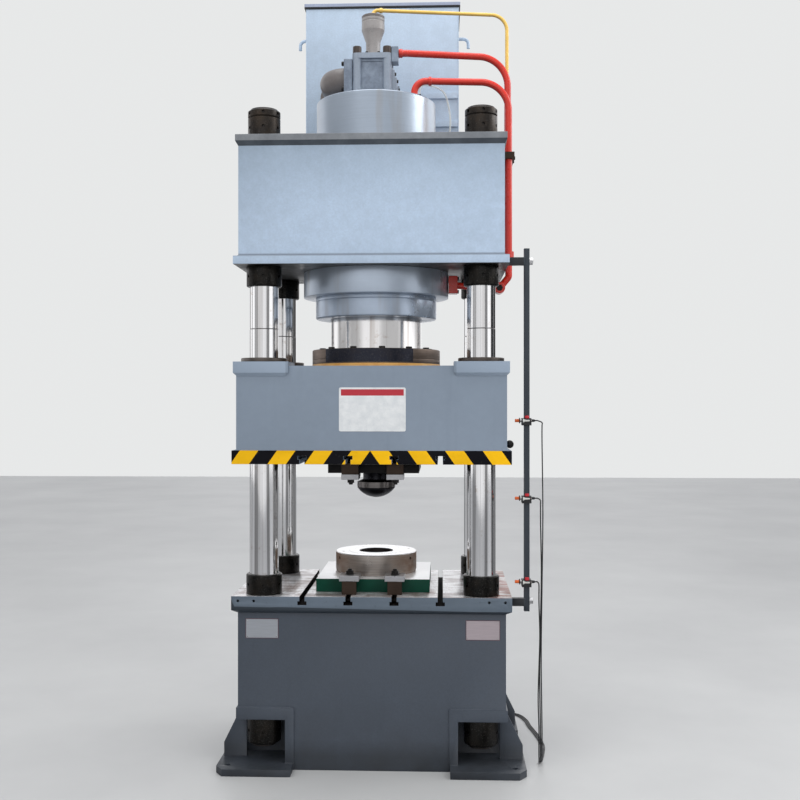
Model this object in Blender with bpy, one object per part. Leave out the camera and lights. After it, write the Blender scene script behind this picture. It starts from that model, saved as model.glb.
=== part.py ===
"""Four-column hydraulic press: welded base and crown beam, four columns with round nuts, a guided
slide on a main cylinder, the fill valve and tank on top, pipework, limit switches and a draw tool.

Metres, +Z up, the operator stands at -Y. The origin is on the ram's axis, on the floor.
"""

import math

import bmesh
import bpy
from mathutils import Matrix, Vector

# Clearances
GAP = 0.0003
SLIDING_FIT = 0.0004
BORE_CLEARANCE = 0.0005

# Column pattern and columns: the widths of table, base, beam and slide follow this pattern
COLUMN_X = 0.393
COLUMN_Y = 0.233
COLUMN_R = 0.052
COLUMN_RELIEF = 0.0005
COLUMN_UPPER_R = COLUMN_R - COLUMN_RELIEF
COLUMN_TAIL_STEP = 0.008
COLUMN_TAIL_R = COLUMN_R - COLUMN_TAIL_STEP
COLUMN_STEP_DROP = 0.227
COLUMN_END_CHAMFER = 0.004
COLUMN_STUB = 0.010
CROWN_STUB = 0.006
ROUND_SIDES = 20

# Column nuts, all round with tommy-bar holes
TABLE_NUT_R = COLUMN_R + 0.0125
TABLE_NUT_H = 0.072
BEAM_NUT_R = COLUMN_UPPER_R + 0.012
BEAM_NUT_H = 0.074
CROWN_NUT_R = COLUMN_UPPER_R + 0.007
CROWN_NUT_H = 0.075
LOCK_RING_H = 0.027
LOCK_GROOVE = 0.003
BASE_NUT_R = COLUMN_TAIL_R + 0.0175
BASE_NUT_H = 0.090
NUT_CHAMFER = 0.004
BAR_HOLE_R = 0.006
BAR_HOLE_DEPTH = 0.009
BAR_HOLES = 6

# Worktable plate with T-slots
TABLE_TOP_Z = 0.624
TABLE_EDGE_X = 0.107
TABLE_EDGE_Y = 0.072
TABLE_W = 2 * (COLUMN_X + TABLE_EDGE_X)
TABLE_D = 2 * (COLUMN_Y + TABLE_EDGE_Y)
TABLE_LIP = 0.050
TABLE_SLOPE_H = 0.012
TABLE_OVERHANG = 0.0205
SLOT_PITCH = 0.164
SLOT_COUNT = 4
SLOT_NECK_W = 0.018
SLOT_NECK_H = 0.017
SLOT_T_W = 0.032
SLOT_T_H = 0.013
EYE_HOLE_R = 0.005
EYE_HOLE_DEPTH = 0.022
EYE_HOLE_DROP = 0.017
EYE_HOLE_INSETS = (0.024, 0.081)

# Base weldment and its corner pockets
POCKET_REACH_X = 0.084
POCKET_REACH_Y = 0.083
POCKET_INNER_X = COLUMN_X - POCKET_REACH_X
POCKET_INNER_Y = COLUMN_Y - POCKET_REACH_Y
POCKET_TOP_Z = 0.180
POCKET_FRAME_T = 0.031
POCKET_LINTEL_H = 0.042
POCKET_FRAME_PROUD = 0.006
FOOT_T = 0.025
FOOT_INSIDE = 0.028
FOOT_OUT_X = 0.050
FOOT_OUT_Y = 0.055
FOOT_INNER_X = POCKET_INNER_X - FOOT_INSIDE
FOOT_OUTER_X = TABLE_W / 2 + FOOT_OUT_X
FOOT_OUTER_Y = TABLE_D / 2 + FOOT_OUT_Y
FOOT_CORNER_X = 0.027
FOOT_CORNER_Y = 0.038
FOOT_RIB_OFFSET = 0.027
FOOT_RIB_Y = COLUMN_Y - FOOT_RIB_OFFSET
FOOT_RIB_T = 0.016
FOOT_RIB_INSET = 0.006
FOOT_RIB_LOW_H = 0.049
ANCHOR_R = 0.010
ANCHOR_INSET_X = 0.040
ANCHOR_INSET_Y = 0.050

# Crown beam
BEAM_ABOVE_TABLE = 1.183
BEAM_H = 0.461
BEAM_BOTTOM_Z = TABLE_TOP_Z + BEAM_ABOVE_TABLE
BEAM_TOP_Z = BEAM_BOTTOM_Z + BEAM_H
BEAM_BOTTOM_PLATE_T = 0.030
BEAM_TOP_PLATE_T = 0.0225
BEAM_SLOPE_H = 0.016
BEAM_EDGE_X = 0.097
BEAM_EDGE_Y = 0.092
BEAM_BOTTOM_LAP_X = 0.0165
BEAM_BOTTOM_LAP_Y = 0.015
BEAM_TOP_LAP_X = 0.009
BEAM_W = 2 * (COLUMN_X + BEAM_EDGE_X)
BEAM_D = 2 * (COLUMN_Y + BEAM_EDGE_Y)
BEAM_WEB_W = BEAM_W - 2 * BEAM_BOTTOM_LAP_X
BEAM_WEB_D = BEAM_D - 2 * BEAM_BOTTOM_LAP_Y
BEAM_TOP_W = BEAM_WEB_W + 2 * BEAM_TOP_LAP_X
TANK_RIB_T = 0.014
TANK_RIB_H = 0.180

# Main cylinder: the bore drives the barrel, the ram and what is bolted to them
BORE_R = 0.180
BARREL_WALL = 0.0475
BARREL_R = BORE_R + BARREL_WALL
SHOULDER_OUT = 0.049
SHOULDER_R = BARREL_R + SHOULDER_OUT
SHOULDER_H = 0.095
BARREL_ABOVE_BEAM = 0.184
HEAD_T = 0.060
BARREL_EDGE = 0.004
BIG_ROUND_SIDES = 36
GLAND_WALL = 0.0505
GLAND_R = BORE_R + GLAND_WALL
GLAND_H = 0.081
GLAND_CHAMFER = 0.004
GLAND_FIT = 0.001
PORT_R = 0.010

# Ram, piston, clamp flange and spigot
PISTON_LAND = 0.0075
RAM_R = BORE_R - PISTON_LAND
RAM_FOOT_OUT = 0.013
RAM_FOOT_R = RAM_R + RAM_FOOT_OUT
RAM_FOOT_H = 0.029
PISTON_FIT = 0.0003
PISTON_H = 0.120
PISTON_UNDER_HEAD = 0.112
FLANGE_WIDTH = 0.0585
FLANGE_R = RAM_FOOT_R + FLANGE_WIDTH
FLANGE_H = 0.054
FLANGE_CHAMFER = 0.003
FLANGE_BOLTS = 12
FLANGE_BOLT_PCR = RAM_R + 0.0325
FLANGE_BOLT_R = 0.012
FLANGE_BOLT_H = 0.008
FLANGE_BOLT_PHASE = math.radians(9.5)
SPIGOT_R = FLANGE_R + 0.0005
SPIGOT_H = 0.0128

# Slide
SLIDE_BELOW_BEAM = 0.361
SLIDE_H = 0.302
SLIDE_TOP_Z = BEAM_BOTTOM_Z - SLIDE_BELOW_BEAM
SLIDE_JOINT_Z = SLIDE_TOP_Z - SLIDE_H
SLIDE_EDGE_X = 0.089
SLIDE_EDGE_Y = 0.072
SLIDE_W = 2 * (COLUMN_X + SLIDE_EDGE_X)
SLIDE_D = 2 * (COLUMN_Y + SLIDE_EDGE_Y)
SLIDE_PLATE_LAP = 0.017
SLIDE_PLATE_W = SLIDE_W + 2 * SLIDE_PLATE_LAP
SLIDE_PLATE_T = 0.049
PAD_PROUD_X = 0.0095
PAD_PROUD_Y = 0.012
PAD_RISE = 0.015
PAD_HALF_X = SLIDE_EDGE_X + PAD_PROUD_X
PAD_HALF_Y = SLIDE_EDGE_Y + PAD_PROUD_Y
PAD_TOP_Z = SLIDE_TOP_Z + PAD_RISE
PAD_H = 0.040
PAD_SLOPE = 0.010
BUSH_WALL = 0.010
BUSH_FLANGE_R = COLUMN_R + 0.031
BUSH_FLANGE_H = 0.014

# Upper tool: adapter plate, punch and strap clamps
ADAPTER_HALF = 0.168
ADAPTER_T = 0.040
PUNCH_STEM_R = 0.0505
PUNCH_DOME_R = 0.0726
PUNCH_DOME_H = 0.038
PUNCH_BAND_H = 0.024
PUNCH_SHOULDER_H = 0.008
PUNCH_L = 0.1024
DOME_STEPS = 5

# Lower tool: die plate, ring die and strap clamps
DIE_BORE_R = 0.0635
DIE_WALL = 0.0905
DIE_R = DIE_BORE_R + DIE_WALL
DIE_H = 0.077
DIE_PLATE_MARGIN = 0.053
DIE_PLATE_HALF = DIE_R + DIE_PLATE_MARGIN
DIE_PLATE_T = 0.0475
DIE_EDGE = 0.003
DIE_LEAD_IN = 0.004
DIE_PLATE_HOLE_R = DIE_BORE_R - 0.0135
DIE_HOLE_R = 0.006
DIE_HOLE_DEPTH = 0.020
DIE_HOLE_DROP = 0.020
DIE_HOLE_ANGLE = math.radians(60)

# Strap clamps, the same set used above and below
STRAP_L = 0.100
STRAP_T = 0.020
STRAP_TOE_L = 0.020
STRAP_TOE_T = 0.010
STRAP_BEARING = 0.042
STRAP_OVERHANG = 0.003
UPPER_STRAP_W = 0.063
LOWER_STRAP_W = 0.072
HEEL_T = 0.024
UPPER_HEEL_W = 0.062
LOWER_HEEL_W = 0.052
CLAMP_BOLT_R = 0.0075
CLAMP_BOLT_BEHIND_HEEL = 0.014
CLAMP_HEAD_W = 0.028
CLAMP_HEAD_H = 0.010
CLAMP_NUT_R = 0.0145
CLAMP_NUT_H = 0.014
CLAMP_BOLT_TAIL = 0.006

# Fill valve on the cylinder head
VALVE_X = -0.012
VALVE_W = 0.150
VALVE_H = 0.182
VALVE_CORNER_R = 0.020
VALVE_PANEL_W = 0.088
VALVE_PANEL_H = 0.088
VALVE_PANEL_DEPTH = 0.008
VALVE_PANEL_DROP = 0.024
HEAD_PORT_R = 0.058
POPPET_R = HEAD_PORT_R - 0.005
VALVE_SEAT_W = 0.008
VALVE_BORE_R = POPPET_R - VALVE_SEAT_W
VALVE_BORE_H = 0.148
VALVE_SCREW_R = 0.017
VALVE_SCREW_H = 0.027
VALVE_SCREW_INSET = 0.018
VALVE_SCREW_OFFSET = VALVE_W / 2 - VALVE_SCREW_INSET
SUCTION_Z_UP = 0.098
POPPET_T = 0.012
POPPET_EDGE = 0.003
STEM_R = 0.010
STEM_INTO_PILOT = 0.086
STEM_L = VALVE_H + STEM_INTO_PILOT
PILOT_FOOT_R = 0.036
PILOT_FOOT_H = 0.012
PILOT_NECK_R = 0.028
PILOT_NECK_H = 0.060
PILOT_CONE_H = 0.043
PILOT_CUP_R = 0.044
PILOT_CUP_H = 0.047
PILOT_CAP_R = 0.0445
PILOT_CAP_H = 0.011
PILOT_BORE_H = 0.126
PILOT_PORT_R = 0.005
SIDE_COVER_T = 0.024
SIDE_COVER_H = 0.060

# Oil tank behind the cylinder
TANK_X = 0.009
TANK_TO_NUT = 0.0145
TANK_W = 2 * (COLUMN_X - CROWN_NUT_R - TANK_TO_NUT - TANK_X)
TANK_BEHIND_BARREL = 0.0125
TANK_FRONT_Y = BARREL_R + TANK_BEHIND_BARREL
TANK_D = 0.280
TANK_H = 0.6487
TANK_TOP_Z = BEAM_TOP_Z + GAP + TANK_H
TANK_LID_T = 0.020
TANK_LID_LAP = 0.006
TANK_BAR_X = 0.080
TANK_BAR_T = 0.010
TANK_BAR_H = 0.024
TANK_BAR_RISES = (0.175, 0.289)
LUG_BELOW_TOP = 0.082
LUG_OUT = 0.042
LUG_DROP = 0.040
LUG_R = 0.007

# Suction elbow from the fill valve to the tank
ELBOW_R = 0.047
ELBOW_WALL = 0.008
SUCTION_PORT_R = ELBOW_R - ELBOW_WALL - 0.001
ELBOW_BEND = ELBOW_R + 0.009
ELBOW_FLANGE_W = 0.130
ELBOW_FLANGE_T = 0.032
ELBOW_TANK_FLANGE_R = ELBOW_R + 0.019
ELBOW_TANK_FLANGE_T = 0.012

# Pipes
PIPE_R = 0.013
PIPE_SIDES = 8
BEND_STEPS = 5
PILOT_PIPE_R = 0.007
PIPE_BESIDE_BEAM = 0.022
PIPE_DROP_X = BEAM_TOP_W / 2 + PIPE_BESIDE_BEAM
PIPE_LOW_RISE = 0.065
PIPE_LOW_Z = BEAM_BOTTOM_Z + PIPE_LOW_RISE
PRESSURE_PIPE_RISE = 0.0057
PRESSURE_PIPE_Y = 0.030
PRESSURE_PORT_Y = -0.040
PRESSURE_BEND = 0.110
PRESSURE_STUB = 0.030
RETURN_PIPE_RISE = 0.075
RETURN_PIPE_Y = -0.030
RETURN_PORT = (BORE_R - 0.032, -0.065)
RETURN_BEND = 0.105
RETURN_ELBOW = 0.045
RETURN_KINK_DROP = 0.017
RETURN_TEE_INSIDE = 0.0355
RETURN_TEE_DROP = 0.060
LOWER_PORT_DROP = 0.047
LOWER_PORT_Z = BEAM_BOTTOM_Z - LOWER_PORT_DROP
LOWER_PORT_BLOCK = (0.034, 0.052, 0.066)
TEE_R = 0.021
TEE_L = 0.060
COLLAR_R = 0.017
COLLAR_L = 0.012
PILOT_PIPE_RISE = 0.0244
PILOT_PIPE_Y = 0.075
PILOT_PIPE_BEND = 0.060
PILOT_ELBOW = 0.018
PIPE_CLAMP_H = 0.026
PIPE_CLAMP_DROP = 0.007
PIPE_CLAMP_WALL = 0.008

# Drain hose from the cylinder head to the beam
HOSE_R = 0.004
HOSE_STUB_R = 0.009
HOSE_STUB_H = 0.060
HOSE_TOP = (BORE_R - 0.015, 0.060)
HOSE_END = (0.270, 0.030)
HOSE_END_STUB_H = 0.020

# Limit-switch rod at the right-hand side
ROD_OUT = 0.056
ROD_AHEAD = 0.002
ROD_X = TABLE_W / 2 + ROD_OUT
ROD_Y = -COLUMN_Y - ROD_AHEAD
ROD_W = 0.020
ROD_BELOW_TABLE = 0.058
ROD_ABOVE_BEAM = 0.061
BRACKET_W = 0.026
BRACKET_H = 0.028
SWITCH_RISES = (0.047, 0.347, 0.626)
SWITCH_NAMES = ("switch_lower", "switch_middle", "switch_upper")
SWITCH_X = 0.036
SWITCH_Y = 0.044
SWITCH_H = 0.034
SENSOR_R = 0.006
SENSOR_GAP = 0.004
SWITCH_PLUG_R = 0.005
SWITCH_PLUG_L = 0.012
STRIKER_RISE = 0.021
STRIKER_Z = SLIDE_JOINT_Z + STRIKER_RISE
STRIKER_BALL_R = 0.0145
STRIKER_NECK_R = 0.007
STRIKER_REACH = 0.028

# Sensor cables: down beside the rod, back along the floor and round behind the base
CABLE_R = 0.00225
CABLE_L = 2.0
CABLE_LANE = 0.006
CABLE_HANG_X = 0.014
CABLE_LEAD = 0.004

SIGNS = (("fl", -1, -1), ("fr", 1, -1), ("rl", -1, 1), ("rr", 1, 1))

PAINT = (0.24, 0.29, 0.34, 1.0)
BLACK_OXIDE = (0.035, 0.033, 0.032, 1.0)
BRIGHT_STEEL = (0.62, 0.62, 0.61, 1.0)


def clear_scene():
    for obj in list(bpy.data.objects):
        bpy.data.objects.remove(obj, do_unlink=True)


def material(name, color, roughness, metallic):
    made = bpy.data.materials.new(name)
    made.use_nodes = True
    shader = made.node_tree.nodes["Principled BSDF"]
    shader.inputs["Base Color"].default_value = color
    shader.inputs["Roughness"].default_value = roughness
    shader.inputs["Metallic"].default_value = metallic
    return made


def paint(name, color=PAINT, roughness=0.5):
    return material(name + "_paint", color, roughness, 0.0)


def metal(name, color=BRIGHT_STEEL, roughness=0.3):
    return material(name + "_metal", color, roughness, 1.0)


def mesh_object(name, points, faces):
    mesh = bpy.data.meshes.new(name)
    mesh.from_pydata([tuple(p) for p in points], [], faces)
    form = bmesh.new()
    form.from_mesh(mesh)
    bmesh.ops.recalc_face_normals(form, faces=form.faces)
    form.to_mesh(mesh)
    form.free()
    obj = bpy.data.objects.new(name, mesh)
    bpy.context.scene.collection.objects.link(obj)
    return obj


def finish(obj, look, angle=35):
    obj.data.materials.append(look)
    obj.data.shade_smooth()
    obj.data.set_sharp_from_angle(angle=math.radians(angle))
    return obj


def place(obj, offset=(0, 0, 0), turn=None):
    """Moves the mesh itself, so that the object's own origin stays at the world's."""
    matrix = Matrix.Translation(Vector(offset))
    if turn is not None:
        matrix = matrix @ turn
    obj.data.transform(matrix)
    return obj


def turned(name, profile, sides, phase=0.0):
    """A body of revolution about Z. The profile runs from pole to pole, or closes on itself."""
    solid = profile[0][0] == 0 and profile[-1][0] == 0
    points = []
    rings = []
    for radius, height in profile:
        if radius == 0:
            rings.append([len(points)])
            points.append((0, 0, height))
            continue
        rings.append(range(len(points), len(points) + sides))
        for i in range(sides):
            angle = phase + 2 * math.pi * i / sides
            points.append((radius * math.cos(angle), radius * math.sin(angle), height))
    pairs = list(zip(rings, rings[1:]))
    if not solid:
        pairs.append((rings[-1], rings[0]))
    faces = []
    for low, high in pairs:
        if len(low) == 1:
            faces += [(low[0], high[(i + 1) % sides], high[i]) for i in range(sides)]
        elif len(high) == 1:
            faces += [(high[0], low[i], low[(i + 1) % sides]) for i in range(sides)]
        else:
            faces += [
                (low[i], low[(i + 1) % sides], high[(i + 1) % sides], high[i])
                for i in range(sides)
            ]
    return mesh_object(name, points, faces)


def disc(name, radius, low, high, sides, phase=0.0):
    return turned(name, [(0, low), (radius, low), (radius, high), (0, high)], sides, phase)


def prism(name, outline, axis, low, high):
    """The outline extruded along one axis: (y, z) for X, (x, z) for Y and (x, y) for Z."""
    def corner(a, b, along):
        return {"X": (along, a, b), "Y": (a, along, b), "Z": (a, b, along)}[axis]

    count = len(outline)
    points = [corner(a, b, low) for a, b in outline] + [corner(a, b, high) for a, b in outline]
    faces = [tuple(range(count)), tuple(range(2 * count - 1, count - 1, -1))]
    faces += [(i, (i + 1) % count, count + (i + 1) % count, count + i) for i in range(count)]
    return mesh_object(name, points, faces)


def box(name, low, high):
    outline = [(low[0], low[1]), (high[0], low[1]), (high[0], high[1]), (low[0], high[1])]
    return prism(name, outline, "Z", low[2], high[2])


def stack(name, levels, centre=(0, 0)):
    """Rectangles of the given half sizes, one above the other, joined by straight sides."""
    points = []
    for height, half_x, half_y in levels:
        for sx, sy in ((-1, -1), (1, -1), (1, 1), (-1, 1)):
            points.append((centre[0] + sx * half_x, centre[1] + sy * half_y, height))
    faces = [(0, 1, 2, 3), tuple(len(points) - 1 - i for i in range(4))]
    for level in range(len(levels) - 1):
        base = 4 * level
        for i in range(4):
            j = (i + 1) % 4
            faces.append((base + i, base + j, base + 4 + j, base + 4 + i))
    return mesh_object(name, points, faces)


def joined(name, pieces):
    """Separate closed shells in one mesh, for a cutter or for a Boolean union."""
    form = bmesh.new()
    for piece in pieces:
        form.from_mesh(piece.data)
        bpy.data.objects.remove(piece, do_unlink=True)
    mesh = bpy.data.meshes.new(name)
    form.to_mesh(mesh)
    form.free()
    obj = bpy.data.objects.new(name, mesh)
    bpy.context.scene.collection.objects.link(obj)
    return obj


def boolean(target, tool, operation):
    tool.hide_render = True
    tool.display_type = "WIRE"
    modifier = target.modifiers.new(tool.name, "BOOLEAN")
    modifier.operation = operation
    modifier.solver = "EXACT"
    modifier.object = tool


def cut(target, tool):
    boolean(target, tool, "DIFFERENCE")


def fuse(target, tool):
    boolean(target, tool, "UNION")


def along_x(obj, offset):
    """Turns a body made along Z so that its +Z end faces +X."""
    return place(obj, offset, Matrix.Rotation(math.pi / 2, 4, "Y"))


def along_y(obj, offset):
    """Turns a body made along Z so that its +Z end faces -Y."""
    return place(obj, offset, Matrix.Rotation(math.pi / 2, 4, "X"))


def rounded_route(corners, radii, steps):
    """The polyline through the corners, each inner corner rounded by an arc of its radius."""
    corners = [Vector(c) for c in corners]
    route = [corners[0]]
    for before, corner, after, radius in zip(corners, corners[1:], corners[2:], radii):
        back = (before - corner).normalized()
        ahead = (after - corner).normalized()
        half = back.angle(ahead) / 2
        reach = radius / math.tan(half)
        centre = corner + (back + ahead).normalized() * (radius / math.sin(half))
        start = corner + back * reach - centre
        end = corner + ahead * reach - centre
        sweep = start.angle(end)
        for i in range(steps + 1):
            share = i / steps
            low = math.sin((1 - share) * sweep) / math.sin(sweep)
            high = math.sin(share * sweep) / math.sin(sweep)
            route.append(centre + start * low + end * high)
    route.append(corners[-1])
    return route


def swept(name, route, radius, sides):
    """A round bar along the route, its section carried along without twist."""
    route = [Vector(p) for p in route]
    tangents = []
    for i in range(len(route)):
        ahead = route[min(i + 1, len(route) - 1)] - route[i]
        behind = route[i] - route[max(i - 1, 0)]
        tangents.append((ahead.normalized() + behind.normalized()).normalized())
    side = tangents[0].orthogonal().normalized()
    points = []
    for i, (centre, tangent) in enumerate(zip(route, tangents)):
        if i:
            side = tangents[i - 1].rotation_difference(tangent) @ side
        side = (side - tangent * side.dot(tangent)).normalized()
        other = tangent.cross(side)
        for k in range(sides):
            angle = 2 * math.pi * (k + 0.5) / sides
            points.append(centre + radius * (math.cos(angle) * side + math.sin(angle) * other))
    faces = [tuple(range(sides)), tuple(range(len(points) - 1, len(points) - sides - 1, -1))]
    for i in range(len(route) - 1):
        for k in range(sides):
            n = (k + 1) % sides
            faces.append(
                (i * sides + k, i * sides + n, (i + 1) * sides + n, (i + 1) * sides + k)
            )
    return mesh_object(name, points, faces)


def column_bores(name, radius, low, high):
    return joined(
        name,
        [
            place(disc(name + tag, radius, low, high, ROUND_SIDES), (sx * COLUMN_X, sy * COLUMN_Y, 0))
            for tag, sx, sy in SIGNS
        ],
    )


def slot_centres():
    return [SLOT_PITCH * (i - (SLOT_COUNT - 1) / 2) for i in range(SLOT_COUNT)]


def slot_outline(centre, surface_z, inward):
    """One T-slot's corner points from left to right; inward is -1 below a top, +1 above a sole."""
    neck_z = surface_z + inward * SLOT_NECK_H
    floor_z = neck_z + inward * SLOT_T_H
    return [
        (centre - SLOT_NECK_W / 2, surface_z),
        (centre - SLOT_NECK_W / 2, neck_z),
        (centre - SLOT_T_W / 2, neck_z),
        (centre - SLOT_T_W / 2, floor_z),
        (centre + SLOT_T_W / 2, floor_z),
        (centre + SLOT_T_W / 2, neck_z),
        (centre + SLOT_NECK_W / 2, neck_z),
        (centre + SLOT_NECK_W / 2, surface_z),
    ]


TABLE_BOTTOM_Z = TABLE_TOP_Z - TABLE_LIP - TABLE_SLOPE_H
BODY_TOP_Z = TABLE_BOTTOM_Z - GAP
BODY_HALF_X = TABLE_W / 2 - TABLE_OVERHANG
BODY_HALF_Y = TABLE_D / 2 - TABLE_OVERHANG
BASE_NUT_TOP_Z = POCKET_TOP_Z - GAP
COLUMN_LOW_Z = BASE_NUT_TOP_Z - BASE_NUT_H - COLUMN_STUB
CROWN_TOP_Z = BEAM_TOP_Z + GAP + CROWN_NUT_H + LOCK_RING_H
COLUMN_HIGH_Z = CROWN_TOP_Z + CROWN_STUB
COLUMN_STEP_Z = BEAM_BOTTOM_Z - COLUMN_STEP_DROP


def make_table():
    half = TABLE_W / 2
    outline = [(-BODY_HALF_X, TABLE_BOTTOM_Z), (-half, TABLE_BOTTOM_Z + TABLE_SLOPE_H), (-half, TABLE_TOP_Z)]
    for centre in slot_centres():
        outline += slot_outline(centre, TABLE_TOP_Z, -1)
    outline += [(half, TABLE_TOP_Z), (half, TABLE_BOTTOM_Z + TABLE_SLOPE_H), (BODY_HALF_X, TABLE_BOTTOM_Z)]
    table = prism("table_plate", outline, "Y", -TABLE_D / 2, TABLE_D / 2)
    wedges = []
    past = 0.01
    for side in (-1, 1):
        edge = side * TABLE_D / 2
        wedge = [
            (side * BODY_HALF_Y, TABLE_BOTTOM_Z),
            (edge, TABLE_BOTTOM_Z + TABLE_SLOPE_H),
            (edge + side * past, TABLE_BOTTOM_Z + TABLE_SLOPE_H),
            (edge + side * past, TABLE_BOTTOM_Z - past),
            (side * BODY_HALF_Y, TABLE_BOTTOM_Z - past),
        ]
        wedges.append(prism("wedge", wedge, "X", -half - past, half + past))
    cut(table, joined("table_slopes", wedges))
    bore = COLUMN_R + BORE_CLEARANCE
    cut(table, column_bores("table_bores", bore, TABLE_BOTTOM_Z - past, TABLE_TOP_Z + past))
    holes = []
    for side in (-1, 1):
        for inset in EYE_HOLE_INSETS:
            hole = disc("hole", EYE_HOLE_R, -past, EYE_HOLE_DEPTH, 8)
            turn = Matrix.Rotation(-math.pi / 2, 4, "X")
            holes.append(
                place(hole, (side * (half - inset), -TABLE_D / 2, TABLE_TOP_Z - EYE_HOLE_DROP), turn)
            )
    cut(table, joined("table_eye_holes", holes))
    return finish(table, paint("table", (0.30, 0.38, 0.43, 1.0), 0.45))


def make_foot(sx, sy):
    """One corner foot: the plate, the pocket's lintel and jamb, and the rib outside the nut."""
    outline = [
        (FOOT_INNER_X, POCKET_INNER_Y - POCKET_FRAME_T),
        (FOOT_OUTER_X, POCKET_INNER_Y - POCKET_FRAME_T),
        (FOOT_OUTER_X, FOOT_OUTER_Y - FOOT_CORNER_Y),
        (FOOT_OUTER_X - FOOT_CORNER_X, FOOT_OUTER_Y),
        (FOOT_INNER_X, FOOT_OUTER_Y),
    ]
    plate = prism("foot", [(sx * x, sy * y) for x, y in outline], "Z", 0, FOOT_T)
    jamb_x = POCKET_INNER_X - POCKET_FRAME_T
    face_y = BODY_HALF_Y + POCKET_FRAME_PROUD
    side_x = BODY_HALF_X + POCKET_FRAME_PROUD
    frame = [
        (jamb_x, FOOT_T / 2),
        (POCKET_INNER_X, FOOT_T / 2),
        (POCKET_INNER_X, POCKET_TOP_Z),
        (side_x, POCKET_TOP_Z),
        (side_x, POCKET_TOP_Z + POCKET_LINTEL_H),
        (jamb_x, POCKET_TOP_Z + POCKET_LINTEL_H),
    ]
    front = sorted((sy * (face_y - POCKET_FRAME_T), sy * face_y))
    jamb = prism("jamb", [(sx * x, z) for x, z in frame], "Y", *front)
    lintel_xs = sorted((sx * (side_x - POCKET_FRAME_T), sx * side_x))
    lintel_ys = sorted((sy * (POCKET_INNER_Y - POCKET_FRAME_T), sy * (face_y - POCKET_FRAME_T / 2)))
    lintel = box(
        "lintel",
        (lintel_xs[0], lintel_ys[0], POCKET_TOP_Z),
        (lintel_xs[1], lintel_ys[1], POCKET_TOP_Z + POCKET_LINTEL_H),
    )
    rib_inner = COLUMN_X + BASE_NUT_R + BAR_HOLE_R
    rib_outer = FOOT_OUTER_X - FOOT_RIB_INSET
    rib_outline = [
        (rib_inner, FOOT_T / 2),
        (rib_outer, FOOT_T / 2),
        (rib_outer, FOOT_T + FOOT_RIB_LOW_H),
        (side_x, POCKET_TOP_Z + FOOT_T / 2),
        (rib_inner, POCKET_TOP_Z + FOOT_T / 2),
    ]
    rib_ys = sorted((sy * (FOOT_RIB_Y - FOOT_RIB_T / 2), sy * (FOOT_RIB_Y + FOOT_RIB_T / 2)))
    rib = prism("rib", [(sx * x, z) for x, z in rib_outline], "Y", *rib_ys)
    return plate, jamb, lintel, rib


def make_base():
    base = stack("base_frame", [(0, BODY_HALF_X, BODY_HALF_Y), (BODY_TOP_Z, BODY_HALF_X, BODY_HALF_Y)])
    past = 0.1
    pockets = []
    feet = {"plates": [], "jambs": [], "lintels": [], "ribs": []}
    anchors = []
    for tag, sx, sy in SIGNS:
        xs = sorted((sx * POCKET_INNER_X, sx * (BODY_HALF_X + past)))
        ys = sorted((sy * POCKET_INNER_Y, sy * (BODY_HALF_Y + past)))
        pockets.append(box("pocket" + tag, (xs[0], ys[0], FOOT_T), (xs[1], ys[1], POCKET_TOP_Z)))
        for group, piece in zip(feet.values(), make_foot(sx, sy)):
            group.append(piece)
        hole = disc("anchor" + tag, ANCHOR_R, -FOOT_T, 2 * FOOT_T, 12)
        spot = (sx * (FOOT_OUTER_X - ANCHOR_INSET_X), sy * (FOOT_OUTER_Y - ANCHOR_INSET_Y), 0)
        anchors.append(place(hole, spot))
    cut(base, joined("base_pockets", pockets))
    for group, pieces in feet.items():
        fuse(base, joined("base_" + group, pieces))
    cut(base, joined("base_anchor_holes", anchors))
    bore = COLUMN_TAIL_R + BORE_CLEARANCE
    cut(base, column_bores("base_bores", bore, POCKET_TOP_Z - FOOT_T / 2, BODY_TOP_Z + past))
    return finish(base, paint("base", (0.20, 0.25, 0.30, 1.0)))


def make_columns():
    profile = [
        (0, COLUMN_LOW_Z),
        (COLUMN_TAIL_R, COLUMN_LOW_Z),
        (COLUMN_TAIL_R, TABLE_BOTTOM_Z),
        (COLUMN_R, TABLE_BOTTOM_Z),
        (COLUMN_R, COLUMN_STEP_Z),
        (COLUMN_UPPER_R, COLUMN_STEP_Z + COLUMN_R - COLUMN_UPPER_R),
        (COLUMN_UPPER_R, COLUMN_HIGH_Z - COLUMN_END_CHAMFER),
        (COLUMN_UPPER_R - COLUMN_END_CHAMFER, COLUMN_HIGH_Z),
        (0, COLUMN_HIGH_Z),
    ]
    look = metal("column", (0.70, 0.70, 0.69, 1.0), 0.12)
    for tag, sx, sy in SIGNS:
        column = turned("column_" + tag, profile, ROUND_SIDES)
        finish(place(column, (sx * COLUMN_X, sy * COLUMN_Y, 0)), look)


def bar_holes(name, nut_radius, height):
    """Blind radial holes for the tommy bar, around Z at the given height."""
    holes = []
    for i in range(BAR_HOLES):
        hole = disc("hole", BAR_HOLE_R, nut_radius - BAR_HOLE_DEPTH, nut_radius + BAR_HOLE_DEPTH, 6)
        along_x(hole, (0, 0, 0))
        angle = math.radians(-84) + 2 * math.pi * i / BAR_HOLES
        holes.append(place(hole, (0, 0, height), Matrix.Rotation(angle, 4, "Z")))
    return joined(name, holes)


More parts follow.
